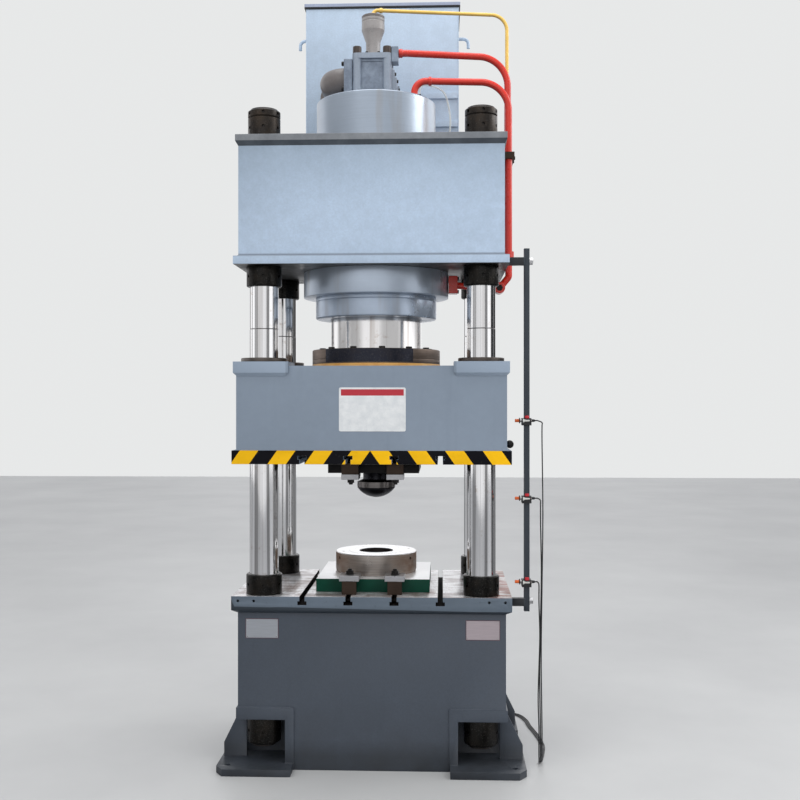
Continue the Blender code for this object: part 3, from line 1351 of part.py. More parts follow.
def smooth_route(knots, steps):
    """Points on the smooth curve through the knots, with that many steps from one to the next."""
    route = []
    for i in range(len(knots) - 1):
        before = knots[max(i - 1, 0)]
        after = knots[min(i + 2, len(knots) - 1)]
        start, stop = knots[i], knots[i + 1]
        for k in range(steps):
            t = k / steps
            leave = (stop - before) / 2
            arrive = (after - start) / 2
            route.append(
                start * (2 * t**3 - 3 * t**2 + 1)
                + leave * (t**3 - 2 * t**2 + t)
                + stop * (3 * t**2 - 2 * t**3)
                + arrive * (t**3 - t**2)
            )
    route.append(knots[-1])
    return route


def cord(name, route, radius, look):
    """A round cord as a bevelled curve with filled ends."""
    curve = bpy.data.curves.new(name, "CURVE")
    curve.dimensions = "3D"
    curve.bevel_depth = radius
    curve.bevel_resolution = 2
    curve.use_fill_caps = True
    spline = curve.splines.new("POLY")
    spline.points.add(len(route) - 1)
    for point, spot in zip(spline.points, route):
        point.co = (*spot, 1.0)
    obj = bpy.data.objects.new(name, curve)
    bpy.context.scene.collection.objects.link(obj)
    curve.materials.append(look)
    return obj


def make_drain_hose():
    """A thin clear hose from the stub on the cylinder head, out and down to the stub on the beam."""
    top = Vector((HOSE_TOP[0], HOSE_TOP[1], BARREL_TOP_Z + HOSE_STUB_H + GAP))
    end = Vector((HOSE_END[0], HOSE_END[1], BEAM_TOP_Z + HOSE_END_STUB_H + GAP))
    middle_z = (top.z + end.z) / 2
    knots = [
        top,
        top + Vector((0.004, 0, 0.024)),
        top + Vector((0.028, -0.002, 0.036)),
        Vector((end.x - 0.012, end.y + 0.018, top.z + 0.004)),
        Vector((end.x + 0.012, end.y + 0.010, middle_z + 0.030)),
        Vector((end.x + 0.012, end.y + 0.004, middle_z - 0.040)),
        end + Vector((0.002, 0, 0.035)),
        end,
    ]
    look = material("hose", (0.8, 0.82, 0.8, 1.0), 0.25, 0.0)
    return cord("drain_hose", smooth_route(knots, 3), HOSE_R, look)


def trimmed(route, length):
    """The route cut off at its real length."""
    kept = [route[0]]
    left = length
    for before, after in zip(route, route[1:]):
        step = (after - before).length
        if step >= left:
            kept.append(before.lerp(after, left / step))
            return kept
        kept.append(after)
        left -= step
    return kept


def cable_route(lane, height):
    """One sensor cable: out of its plug, straight down, back along the floor and behind the base.

    The lane, 0 to 2, keeps the three cables side by side.
    """
    start = ROD_X + SWITCH_X / 2 + SWITCH_PLUG_L + GAP
    side = lane * CABLE_LANE
    x = start + CABLE_HANG_X + side
    y = ROD_Y + side
    floor = CABLE_R + GAP
    back = FOOT_OUTER_Y + side
    knots = [
        Vector((start, ROD_Y, height)),
        Vector((start + CABLE_LEAD, ROD_Y, height)),
        Vector((start + 2 * CABLE_LEAD, ROD_Y, height)),
        Vector((x - 0.001, ROD_Y + side / 2, height - 0.007)),
        Vector((x, y, height - 0.022)),
        Vector((x, y, height - 0.080)),
    ]
    drop = height - 0.080 - 0.140
    for i in range(1, 4):
        knots.append(Vector((x + 0.003 * math.sin(math.pi * i / 2), y, height - 0.080 - drop * i / 4)))
    knots += [
        Vector((x, y, 0.140)),
        Vector((x, y + 0.004, 0.070)),
        Vector((x + 0.002, y + 0.022, 0.024)),
        Vector((x + 0.006, y + 0.062, floor)),
        Vector((x + 0.018, y + 0.130, floor)),
        Vector((x + 0.030, 0.000 + side, floor)),
        Vector((x + 0.020, 0.120 + side, floor)),
        Vector((x, 0.240 + side, floor)),
        Vector((x - 0.012, back - 0.030, floor)),
        Vector((x - 0.045, back + 0.040, floor)),
        Vector((x - 0.120, back + 0.064, floor)),
        Vector((0.360, back + 0.060, floor)),
        Vector((0.200, back + 0.070, floor)),
        Vector((0.040, back + 0.062, floor)),
        Vector((-0.120, back + 0.068, floor)),
        Vector((-0.280, back + 0.062, floor)),
    ]
    return trimmed(smooth_route(knots, 3), CABLE_L)


def make_cables():
    look = material("cable", (0.012, 0.012, 0.013, 1.0), 0.45, 0.0)
    for lane, (name, height) in enumerate(zip(SWITCH_NAMES, switch_heights())):
        cord(name.replace("switch", "cable"), cable_route(lane, height), CABLE_R, look)


def make_limit_rod():
    """The square rod with the two bracket bars that hold it off the beam and the table."""
    half = ROD_W / 2
    low, high = TABLE_TOP_Z - ROD_BELOW_TABLE, BEAM_BOTTOM_Z + ROD_ABOVE_BEAM
    rod = box("limit_rod", (ROD_X - half, ROD_Y - half, low), (ROD_X + half, ROD_Y + half, high))
    wide = BRACKET_W / 2
    seats = (
        (BEAM_W / 2, BEAM_BOTTOM_Z + BEAM_BOTTOM_PLATE_T / 2),
        (TABLE_W / 2, TABLE_TOP_Z - TABLE_LIP / 2),
    )
    bars = []
    for edge, middle in seats:
        bars.append(
            box(
                "rod_bracket",
                (edge + GAP, ROD_Y - wide, middle - BRACKET_H / 2),
                (ROD_X - half / 2, ROD_Y + wide, middle + BRACKET_H / 2),
            )
        )
    fuse(rod, joined("rod_brackets", bars))
    return finish(rod, paint("limit_rod", (0.10, 0.13, 0.17, 1.0)))


def switch_heights():
    """Heights of the three sensors, lowest first."""
    return [TABLE_TOP_Z + rise for rise in SWITCH_RISES]


def make_switches():
    """Sensor holders that slide on the square rod; each sensor's nose points at the striker's path."""
    striker_x = SLIDE_W / 2 + STRIKER_REACH
    nose_x = striker_x + SENSOR_GAP
    for name, z in zip(SWITCH_NAMES, switch_heights()):
        holder = box(
            name,
            (ROD_X - SWITCH_X / 2, ROD_Y - SWITCH_Y / 2, z - SWITCH_H / 2),
            (ROD_X + SWITCH_X / 2, ROD_Y + SWITCH_Y / 2, z + SWITCH_H / 2),
        )
        nose = disc(name + "_nose", SENSOR_R, nose_x - ROD_X, -SWITCH_X / 2 + SENSOR_R / 2, 10)
        fuse(holder, along_x(nose, (ROD_X, ROD_Y, z)))
        plug_root = SWITCH_X / 2 - SENSOR_R / 2
        plug = disc(name + "_plug", SWITCH_PLUG_R, plug_root, SWITCH_X / 2 + SWITCH_PLUG_L, 10)
        fuse(holder, along_x(plug, (ROD_X, ROD_Y, z)))
        hole = ROD_W / 2 + GAP
        slot = box(
            name + "_rod_hole",
            (ROD_X - hole, ROD_Y - hole, z - SWITCH_H),
            (ROD_X + hole, ROD_Y + hole, z + SWITCH_H),
        )
        cut(holder, slot)
        finish(holder, paint(name, (0.03, 0.03, 0.035, 1.0), 0.4))


def make_striker():
    """The ball-headed trip pin in the slide's right side, in line with the sensors."""
    face = SLIDE_W / 2 + GAP
    centre = SLIDE_W / 2 + STRIKER_REACH - STRIKER_BALL_R
    profile = [(0, face), (STRIKER_NECK_R, face)]
    steps = 8
    start = math.pi - math.asin(STRIKER_NECK_R / STRIKER_BALL_R)
    for i in range(steps):
        angle = start * (1 - i / steps)
        profile.append((STRIKER_BALL_R * math.sin(angle), centre + STRIKER_BALL_R * math.cos(angle)))
    profile.append((0, centre + STRIKER_BALL_R))
    pin = along_x(turned("striker", profile, 12), (0, ROD_Y, STRIKER_Z))
    return finish(pin, metal("striker", BLACK_OXIDE, 0.35))


def main():
    clear_scene()
    make_base()
    make_table()
    make_columns()
    make_all_nuts()
    make_beam()
    make_cylinder()
    make_gland()
    make_ram()
    make_ram_flange()
    make_slide()
    make_slide_plate()
    make_bushes()
    make_upper_tool()
    make_lower_tool()
    make_clamps()
    make_valve()
    cap_top = make_pilot_head()
    make_poppet()
    make_suction_elbow()
    make_tank()
    make_pressure_pipe()
    make_return_pipe()
    make_pilot_pipe(cap_top)
    make_pipe_clamp()
    make_drain_hose()
    make_limit_rod()
    make_switches()
    make_cables()
    make_striker()


main()
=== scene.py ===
"""Looks of the four-column hydraulic press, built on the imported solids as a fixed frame."""

import math
import random

import bmesh
import bpy
from mathutils import Matrix, Vector


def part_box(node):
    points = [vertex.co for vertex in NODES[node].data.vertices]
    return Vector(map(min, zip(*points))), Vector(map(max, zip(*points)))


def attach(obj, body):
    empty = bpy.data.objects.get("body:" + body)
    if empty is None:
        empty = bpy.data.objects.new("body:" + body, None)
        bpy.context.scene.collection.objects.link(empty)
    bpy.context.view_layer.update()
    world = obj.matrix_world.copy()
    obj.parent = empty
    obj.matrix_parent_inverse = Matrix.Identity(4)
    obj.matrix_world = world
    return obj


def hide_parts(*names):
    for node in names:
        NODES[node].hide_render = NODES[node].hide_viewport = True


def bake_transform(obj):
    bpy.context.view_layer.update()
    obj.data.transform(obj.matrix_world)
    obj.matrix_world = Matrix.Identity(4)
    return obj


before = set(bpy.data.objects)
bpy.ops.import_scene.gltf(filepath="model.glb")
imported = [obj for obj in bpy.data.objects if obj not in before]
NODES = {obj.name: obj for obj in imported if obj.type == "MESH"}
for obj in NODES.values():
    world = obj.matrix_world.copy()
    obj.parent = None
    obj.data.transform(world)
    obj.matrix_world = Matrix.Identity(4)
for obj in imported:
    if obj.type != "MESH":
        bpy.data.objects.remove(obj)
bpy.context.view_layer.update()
random.seed(7)

# Places and sizes that several pieces share, in metres

GAP = 0.0003
TAGS = (("fl", -1, -1), ("fr", 1, -1), ("rl", -1, 1), ("rr", 1, 1))
COLUMN_X, COLUMN_Y, COLUMN_R, COLUMN_STEP_Z = 0.393, 0.233, 0.052, 1.580
GROUND = (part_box("table_nut_fl")[1].z - 0.003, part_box("beam_nut_fl")[0].z + 0.003)
TABLE_Z, TABLE_SIDE_Y, SLOT_FLOOR_Z = 0.624, 0.3046, 0.5932
SLOT_PITCH, SLOT_HALF, SLOTS_X = 0.164, 0.0166, 0.30
PLATE_Y = -0.2845
SLIDE_LOW_Z, SLIDE_TOP_Z, SLIDE_Y = 1.144, 1.446, -0.305
PAD_LOW_Z, PAD_X = 1.4108, 0.303
TAPE_X, TAPE_SLANT, TAPE_PITCH = -0.003, 0.70, 0.1330
SIGN_X, SIGN_W, SIGN_Z0, SIGN_Z1 = 0.0050, 0.2375, 1.2123, 1.3685
DIE_HOLE_R = 0.070
SHOULDER_TOP_Z, BEAM_ROOF_Z, BARREL_TOP_Z = 1.807, 2.268, 2.452
BEAM_LOW_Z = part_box("top_beam")[0].z
BEAM_H, BEAM_PLATE, BEAM_TOP_PLATE, BEAM_SLOPE = 0.461, 0.030, 0.0225, 0.016
BEAM_HIGH_Z = BEAM_LOW_Z + BEAM_H
VALVE_X, VALVE_HALF, VALVE_LOW_Z = -0.012, 0.075, BARREL_TOP_Z + GAP
PANEL_DEEP, PORT_DEEP, STEM_BORE = 0.014, 0.024, 0.0104
PRESSURE_Y, PRESSURE_Z, RETURN_X, RETURN_Y = -0.040, 2.640, 0.148, -0.065
PIPE_R, HOSE_R = 0.013, 0.004
ROD_X, ROD_Y, ROD_W = 0.556, -0.235, 0.020
SWITCHES = ("switch_lower", "switch_middle", "switch_upper")
CABLE_R, CABLE_L, LANE = 0.00225, 2.0, 0.006
AXIS_TURNS = {"Z": (0, "X"), "X": (90, "Y"), "-X": (-90, "Y"), "-Y": (90, "X"), "-Z": (180, "X")}

# Materials


def lin(r, g, b):
    """An 8-bit screen colour as linear RGBA."""
    def one(v):
        v /= 255
        return v / 12.92 if v <= 0.04045 else ((v + 0.055) / 1.055) ** 2.4
    return (one(r), one(g), one(b), 1.0)


def feed(tree, socket, value):
    """Links a node's output to the socket, or gives it a plain value."""
    if isinstance(value, bpy.types.NodeSocket):
        tree.links.new(value, socket)
    else:
        socket.default_value = value


def calc(tree, kind, *values):
    """The output of a new maths node of this kind."""
    node = tree.nodes.new("ShaderNodeMath")
    node.operation = kind
    for socket, value in zip(node.inputs, values):
        feed(tree, socket, value)
    return node.outputs[0]


def mixed(tree, fac, a, b):
    """Two colours mixed by a factor."""
    node = tree.nodes.new("ShaderNodeMix")
    node.data_type = "RGBA"
    for i, value in ((0, fac), (6, a), (7, b)):
        feed(tree, node.inputs[i], value)
    return node.outputs[2]


class Look:
    """A Principled material with short helpers for the nodes around it."""

    def __init__(self, name, color, rough=0.5, metal=0.0):
        self.mat = bpy.data.materials.new(name)
        self.mat.use_nodes = True
        self.tree = self.mat.node_tree
        self.shader = self.tree.nodes["Principled BSDF"]
        self.paint(color, rough)
        self.set("Metallic", metal)
        self.height = None
        self.coords = self.tree.nodes.new("ShaderNodeTexCoord").outputs["Object"]

    def set(self, name, value):
        feed(self.tree, self.shader.inputs[name], value)

    def paint(self, tone, rough, coat=None, coat_rough=None):
        self.set("Base Color", tone)
        self.set("Roughness", rough)
        if coat is not None:
            self.set("Coat Weight", coat)
            self.set("Coat Roughness", coat_rough)

    def make(self, kind, **inputs):
        node = self.tree.nodes.new(kind)
        for key, value in inputs.items():
            feed(self.tree, node.inputs[key.replace("_", " ")], value)
        return node

    def scaled(self, x, y, z):
        return self.make("ShaderNodeMapping", Vector=self.coords, Scale=(x, y, z)).outputs["Vector"]

    def noise(self, scale=5.0, detail=4.0, rough=0.55, vector=None, distort=0.0):
        node = self.make(
            "ShaderNodeTexNoise", Vector=vector or self.coords, Scale=scale, Detail=detail, Roughness=rough,
            Distortion=distort,
        )
        return node.outputs["Fac"]

    def math(self, kind, *values):
        return calc(self.tree, kind, *values)

    def times(self, a, b):
        return self.math("MULTIPLY", a, b)

    def above(self, value, limit):
        return self.math("GREATER_THAN", value, limit)

    def below(self, value, limit):
        return self.math("LESS_THAN", value, limit)

    def off(self, value, middle):
        """How far the value is from the middle, on either side."""
        return self.math("ABSOLUTE", self.math("SUBTRACT", value, middle))

    def reach(self):
        """The distance from the press's upright middle line."""
        x, y = self.xyz()[0:2]
        return self.math("SQRT", self.math("ADD", self.times(x, x), self.times(y, y)))

    def span(self, value, low=0.3, high=0.7, out_low=0.0, out_high=1.0):
        """The value's way from low to high, mapped to the other two numbers and held there."""
        return self.make(
            "ShaderNodeMapRange", Value=value, From_Min=low, From_Max=high, To_Min=out_low, To_Max=out_high,
        ).outputs["Result"]

    def mix(self, fac, a, b):
        return mixed(self.tree, fac, a, b)

    def fade(self, a, b, value, low=0.3, high=0.7, most=1.0):
        """Colour a below the low value, going over to b towards the high one, up to a share of most."""
        return self.mix(self.span(value, low, high, 0.0, most), a, b)

    def blend(self, fac, a, b):
        """Two plain numbers or value sockets mixed by a factor."""
        node = self.tree.nodes.new("ShaderNodeMix")
        for i, value in ((0, fac), (2, a), (3, b)):
            feed(self.tree, node.inputs[i], value)
        return node.outputs[0]

    def xyz(self):
        return self.make("ShaderNodeSeparateXYZ", Vector=self.coords).outputs

    def normal(self):
        geometry = self.tree.nodes.new("ShaderNodeNewGeometry")
        return self.make("ShaderNodeSeparateXYZ", Vector=geometry.outputs["Normal"]).outputs

    def bump(self, height, strength=0.2, distance=0.001):
        node = self.make("ShaderNodeBump", Height=height, Strength=strength, Distance=distance)
        if self.height is not None:
            self.tree.links.new(self.height, node.inputs["Normal"])
        self.height = node.outputs["Normal"]
        self.set("Normal", self.height)


def shade(color, factor):
    return tuple(channel * factor for channel in color[:3]) + (1.0,)


def clouded(look, color, dim, bright, speck, spread, grime):
    """Cloudy, specked and streaked paint, and the coarse and the fine noise in it."""
    clouds = look.noise(2.3, 5.0, 0.6)
    fine = look.noise(26.0, 4.0, 0.62)
    tone = look.fade(shade(color, dim), shade(color, bright), clouds)
    tone = look.fade(tone, shade(color, speck), fine, 0.42, 0.75, spread)
    streaks = look.noise(3.0, 3.0, 0.5, look.scaled(9.0, 9.0, 0.7))
    return look.fade(tone, shade(color, 0.62), streaks, 0.55, 0.8, grime), clouds, fine


def dusted(look, tone, clouds, dusty=0.32):
    dust = look.times(look.span(look.normal()[2], 0.6, 1.0, 0.0, dusty), clouds)
    return look.mix(dust, tone, lin(176, 170, 158))


def sprayed(look, tone, fine, rough, coat=0.12):
    """The finish that all sprayed paint shares."""
    look.paint(tone, look.span(fine, 0.3, 0.7, rough - 0.08, rough + 0.12), coat, 0.25)
    look.bump(look.noise(160.0, 2.0, 0.5), 0.12, 0.0008)
    look.bump(look.noise(11.0, 3.0, 0.5), 0.10, 0.004)
    return look.mat


def enamel(name, color, rough, cloud, grime, grime_top=None, coat=0.12, over=None, dusty=0.32):
    """Sprayed machine paint over filler: cloudy, faintly pebbled, dusty where it faces up.

    over is a function that paints regions of its own over that: it gets the look and the tone.
    """
    look = Look(name, color, rough)
    tone, clouds, fine = clouded(look, color, 1 - cloud, 1 + cloud * 0.7, 1.28, 0.35, grime)
    if grime_top is not None:
        rise = look.span(look.xyz()[2], 0.0, grime_top, 0.55, 0.0)
        dirt = look.times(rise, look.span(look.noise(7.0, 5.0, 0.65), 0.35, 0.7))
        tone = look.mix(dirt, tone, lin(46, 43, 40))
    tone = dusted(look, tone, clouds, dusty)
    tone = look.fade(tone, shade(color, 0.74), look.noise(150.0, 3.0, 0.6), 0.30, 0.72, 0.42)
    if over is not None:
        tone = over(look, tone)
    return sprayed(look, tone, fine, rough, coat)


def turned_steel(name, color, rough=0.25, lines=420.0, stain=None, amount=0.3):
    """Turned or ground steel: fine rings round the axis and soft tarnish."""
    look = Look(name, color, rough, 1.0)
    rings = look.noise(lines, 2.0, 0.5, look.scaled(0.02, 0.02, 1.0))
    cloud = look.noise(6.0, 4.0, 0.6)
    tone = look.fade(shade(color, 0.82), shade(color, 1.1), rings)
    if stain is not None:
        tone = look.fade(tone, stain, cloud, 0.42, 0.72, amount)
    look.paint(tone, look.span(cloud, 0.3, 0.75, rough - 0.06, rough + 0.14))
    look.bump(rings, 0.15, 0.0003)
    return look.mat


def chrome(name, color, rough, ground=None, mark=None, streaks=0.25):
    """Ground hard chrome with a thin oil film that has run down it.

    Outside the ground stretch of heights it is dark oily thread, and at mark it has a dark turned line.
    """
    look = Look(name, color, rough, 1.0)
    film = look.noise(9.0, 4.0, 0.6, look.scaled(1.0, 1.0, 0.12))
    rings = look.noise(900.0, 1.0, 0.5, look.scaled(0.01, 0.01, 1.0))
    tone = look.fade(color, shade(color, 0.8), film, 0.4, 0.75, 0.4)
    tone = look.fade(tone, lin(176, 156, 138), look.noise(26.0, 5.0, 0.7), 0.60, 0.72, 0.5)
    runs = look.noise(38.0, 2.0, 0.5, look.scaled(1.0, 1.0, 0.02))
    tone = look.fade(tone, lin(128, 112, 98), runs, 0.50, 0.72, streaks)
    finish = look.span(film, 0.35, 0.75, rough, rough + 0.10)
    if mark is not None:
        line = look.span(look.off(look.xyz()[2], mark), 0.0010, 0.0022, 0.75, 0.0)
        tone = look.mix(line, tone, lin(60, 46, 40))
    if ground is not None:
        height = look.xyz()[2]
        thread = look.math("MAXIMUM", look.below(height, ground[0]), look.above(height, ground[1]))
        tone = look.mix(thread, tone, lin(46, 42, 40))
        finish = look.blend(thread, finish, 0.36)
        look.set("Metallic", look.blend(thread, 1.0, 0.6))
    look.paint(tone, finish)
    look.bump(rings, 0.06, 0.0002)
    return look.mat


def black_oxide(name, color, rough, warm):
    """Blackened steel, oily, rubbed lighter and browner in patches."""
    look = Look(name, color, rough, 0.75)
    patch = look.noise(22.0, 5.0, 0.65)
    fine = look.noise(240.0, 3.0, 0.6)
    tone = look.fade(color, lin(92, 76, 60), patch, 0.45, 0.75, warm)
    tone = look.fade(tone, lin(120, 118, 114), fine, 0.55, 0.75, 0.3)
    look.paint(tone, look.span(patch, 0.3, 0.7, rough - 0.1, rough + 0.16))
    look.bump(fine, 0.1, 0.0004)
    return look.mat


def oiled_steel(name, color, rough=0.22, shine=0.78):
    """Turned steel under a film of oil or clear varnish: smooth bands of light, fine level lines."""
    look = Look(name, color, rough, shine)
    rings = look.noise(300.0, 2.0, 0.5, look.scaled(0.02, 0.02, 1.0))
    cloud = look.noise(4.0, 5.0, 0.62)
    drips = look.noise(7.0, 3.0, 0.5, look.scaled(3.0, 3.0, 0.35))
    tone = look.fade(shade(color, 0.96), shade(color, 1.03), rings)
    # below the beam's underside the steel is painted half again as light, as a painted highlight
    low = look.below(look.xyz()[2], BEAM_LOW_Z)
    tone = look.mix(look.times(low, 0.45), tone, shade(color, 1.5))
    tone = look.fade(tone, shade(color, 0.70), cloud, 0.40, 0.75, 0.35)
    tone = look.fade(tone, lin(150, 140, 128), drips, 0.56, 0.75, 0.35)
    look.paint(tone, look.span(cloud, 0.3, 0.75, rough - 0.05, rough + 0.12), 0.2, 0.16)
    look.bump(rings, 0.04, 0.0002)
    return look.mat


def milled(name, color, rough=0.32):
    """Milled plate: fine straight lay and scattered marks."""
    look = Look(name, color, rough, 0.9)
    lay = look.noise(520.0, 2.0, 0.5, look.scaled(0.05, 1.0, 1.0))
    patch = look.noise(14.0, 4.0, 0.6)
    tone = look.fade(shade(color, 0.85), shade(color, 1.08), lay)
    tone = look.fade(tone, shade(color, 0.6), patch, 0.5, 0.75, 0.35)
    look.paint(tone, look.span(patch, 0.3, 0.7, rough - 0.06, rough + 0.12))
    look.bump(lay, 0.12, 0.0003)
    return look.mat


def gloss(name, color, rough=0.22, grime=0.3):
    """Glossy brushed-on pipe paint with fine drips and rubbed spots."""
    look = Look(name, color, rough)
    patch = look.noise(18.0, 4.0, 0.6)
    tone = look.fade(color, shade(color, 0.5), patch, 0.35, 0.75, grime)
    # the underside painted darker, as painted shade
    tone = look.mix(look.span(look.normal()[2], -0.8, 0.2, 0.8, 0.0), tone, shade(color, 0.36))
    look.paint(tone, look.span(patch, 0.3, 0.7, rough - 0.06, rough + 0.12), 0.2, 0.12)
    look.bump(look.noise(60.0, 3.0, 0.5), 0.12, 0.0008)
    return look.mat


def moulded(name, color, rough=0.5):
    look = Look(name, color, rough)
    fine = look.noise(700.0, 2.0, 0.5)
    patch = look.noise(30.0, 3.0, 0.5)
    tone = look.fade(shade(color, 0.85), shade(color, 1.15), patch)
    look.paint(tone, look.span(patch, 0.3, 0.7, rough - 0.05, rough + 0.1))
    look.bump(fine, 0.1, 0.0003)
    return look.mat


# One machine paint in three tones, as painted light and shade: lightest on the beam, which the light reaches
# most, darker on the slide, darkest on the base
PAINT_BEAM_LIT = lin(180, 198, 218)
PAINT_SLIDE_SHADED = lin(130, 143, 158)
PAINT_BASE_SHADED = lin(69, 77, 88)


def beam_regions(look, tone):
    """Painted shade on the web towards the top plate, along the crease above the lower plate's weld, on the
    slope beneath the top plate and on the underside; the top plate's edge is darker.
    """
    z, level = look.xyz()[2], look.normal()[2]
    edge = look.above(z, BEAM_HIGH_Z - BEAM_TOP_PLATE)
    slope = look.above(z, BEAM_HIGH_Z - BEAM_TOP_PLATE - BEAM_SLOPE)
    blotch = look.span(look.noise(14.0, 5.0, 0.65), 0.3, 0.7)
    # painted shade on the web, growing towards the top plate
    shaded = look.span(z, BEAM_HIGH_Z - 0.26, BEAM_HIGH_Z - 0.04, 0.0, 0.42)
    tone = look.mix(shaded, tone, look.mix(blotch, lin(118, 134, 148), lin(140, 156, 170)))
    # a painted shade line along the crease above the lower plate's weld
    seam = look.off(z, BEAM_LOW_Z + BEAM_PLATE + 0.003)
    tone = look.mix(look.span(seam, 0.002, 0.007, 0.75, 0.0), tone, lin(104, 110, 120))
    # the slope beneath the top plate painted dark, as painted shade
    tone = look.mix(slope, tone, look.mix(blotch, lin(58, 64, 72), lin(82, 90, 98)))
    tone = look.mix(edge, tone, look.mix(blotch, lin(108, 112, 117), lin(132, 136, 140)))
    # the underside painted dark, as painted shade
    sole = look.times(look.below(level, -0.7), look.below(z, BEAM_LOW_Z + 0.004))
    return look.mix(sole, tone, look.mix(blotch, lin(40, 38, 36), lin(66, 66, 64)))


def base_regions(look, tone):
    """The foot plates are darker than the welded box above them."""
    z = look.xyz()[2]
    return look.mix(look.span(z, 0.050, 0.110, 0.45, 0.0), tone, lin(26, 28, 28))


def lid_regions(look, tone):
    """The lower third of the lid's height is painted black, as a band along its lower edge."""
    low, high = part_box("tank_lid")
    lower_band = look.below(look.xyz()[2], low.z + 0.36 * (high.z - low.z))
    return look.mix(lower_band, tone, lin(18, 20, 24))


def rod_regions(look, tone):
    """The brackets between the rod and the press are nearly black."""
    inner = look.below(look.xyz()[0], ROD_X - ROD_W / 2 - 0.001)
    return look.mix(look.times(inner, 0.75), tone, lin(16, 18, 20))


def valve_regions(look, tone):
    """The sunk panel is painted darker than the casting's posts, as painted shade in the recess."""
    y = look.xyz()[1]
    # painted shade on the sunk panel
    sunk = look.times(look.below(y, -VALVE_HALF + PANEL_DEEP + 0.002), look.above(y, -VALVE_HALF + 0.004))
    panel = look.fade(lin(102, 112, 127), lin(134, 146, 161), look.noise(38.0, 4.0, 0.6))
    return look.mix(sunk, tone, panel)


M = {
    "beam": enamel("beam_enamel", PAINT_BEAM_LIT, 0.40, 0.16, 0.06, over=beam_regions),
    "base": enamel("base_enamel", PAINT_BASE_SHADED, 0.46, 0.08, 0.2, 0.25, over=base_regions, dusty=0.06),
    "cylinder": oiled_steel("cylinder_steel", lin(166, 177, 190), 0.30, 0.60),
    "gland": oiled_steel("gland_steel", lin(162, 174, 189), 0.27, 0.64),
    "valve": enamel("valve_enamel", lin(144, 154, 167), 0.34, 0.18, 0.4, over=valve_regions),
    "elbow": enamel("elbow_enamel", lin(112, 106, 104), 0.36, 0.15, 0.3),
    "tank": enamel("tank_enamel", lin(190, 208, 227), 0.46, 0.08, 0.14),
    "lid": enamel("lid_enamel", lin(156, 166, 188), 0.46, 0.08, 0.15, dusty=0.1, over=lid_regions),
    "rod": enamel("rod_enamel", lin(44, 52, 60), 0.42, 0.1, 0.2, over=rod_regions),
    "pilot": enamel("pilot_enamel", lin(156, 152, 150), 0.30, 0.14, 0.3, coat=0.25),
    "column": chrome("column_chrome", (0.84, 0.84, 0.84, 1.0), 0.06, GROUND, COLUMN_STEP_Z),
    "ram": chrome("ram_chrome", (0.82, 0.81, 0.80, 1.0), 0.10, streaks=0.6),
    # One black oxide for the round nuts, as painted light and shade: a lighter, browner copy for the crown
    # nuts on top, a darker one for the rest
    "oxide": black_oxide("nut_lit_black_oxide", lin(46, 42, 39), 0.32, 0.34),
    "oxide_low": black_oxide("nut_shaded_black_oxide", lin(22, 21, 19), 0.30, 0.12),
    "screw": black_oxide("screw_black_oxide", lin(38, 37, 37), 0.34, 0.15),
    "worn_screw": black_oxide("worn_black_oxide", lin(84, 76, 72), 0.36, 0.3),
    "blued": black_oxide("flange_dark_band_and_shade", lin(40, 42, 52), 0.30, 0.15),
    "flange": turned_steel("flange_rim_steel", lin(132, 118, 108), 0.46, 320.0, lin(72, 62, 54), 0.6),
    "bush": turned_steel("bush_bronze", lin(112, 106, 102), 0.36, 420.0, lin(74, 62, 52), 0.5),
    "steel": turned_steel("turned_steel", (0.60, 0.59, 0.58, 1.0), 0.26, 420.0, lin(122, 104, 88), 0.35),
    "bolt": turned_steel("bright_bolt", lin(226, 226, 226), 0.3, 300.0),
    "strap": milled("strap_steel", lin(178, 178, 180), 0.30),
    "heel": milled("heel_steel", lin(72, 60, 52), 0.5),
    "adapter": milled("adapter_black", lin(34, 33, 33), 0.42),
    "punch": turned_steel("punch_steel", lin(46, 46, 50), 0.24, 300.0),
    "band": turned_steel("punch_band", lin(112, 108, 106), 0.16, 300.0),
    "red": gloss("pipe_red", lin(222, 52, 36), 0.26),
    "yellow": gloss("pipe_yellow", lin(254, 212, 108), 0.30),
    "sensor_black": moulded("sensor_black", lin(28, 28, 30), 0.42),
    "sensor_white": moulded("sensor_white", lin(205, 205, 200), 0.42),
    "sensor_red": moulded("sensor_red", lin(190, 38, 48), 0.35),
    "sensor_orange": moulded("sensor_orange", lin(226, 104, 40), 0.35),
    "cable": moulded("cable_pvc", lin(22, 22, 24), 0.38),
}


def slide_look():
    """Machine enamel, with the raised ring round the ram's foot in orange-yellow primer."""
    look = Look("slide_enamel", PAINT_SLIDE_SHADED, 0.44)
    x, _, z = look.xyz()[0:3]
    tone, clouds, fine = clouded(look, PAINT_SLIDE_SHADED, 0.93, 1.05, 1.22, 0.25, 0.18)
    # the guard pads are painted lighter, as painted light where they catch more of it
    pad = look.times(look.above(z, PAD_LOW_Z), look.above(look.math("ABSOLUTE", x), PAD_X))
    tone = look.mix(look.times(pad, 0.8), tone, shade(PAINT_SLIDE_SHADED, 1.38))
    tone = dusted(look, tone, clouds)
    near = look.below(look.reach(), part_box("ram_flange")[1].x + 0.004)
    ring = look.times(near, look.above(z, SLIDE_TOP_Z + 0.0006))
    primer = look.fade(lin(206, 150, 74), lin(226, 176, 100), fine, 0.35, 0.7)
    return sprayed(look, look.mix(ring, tone, primer), fine, 0.44)


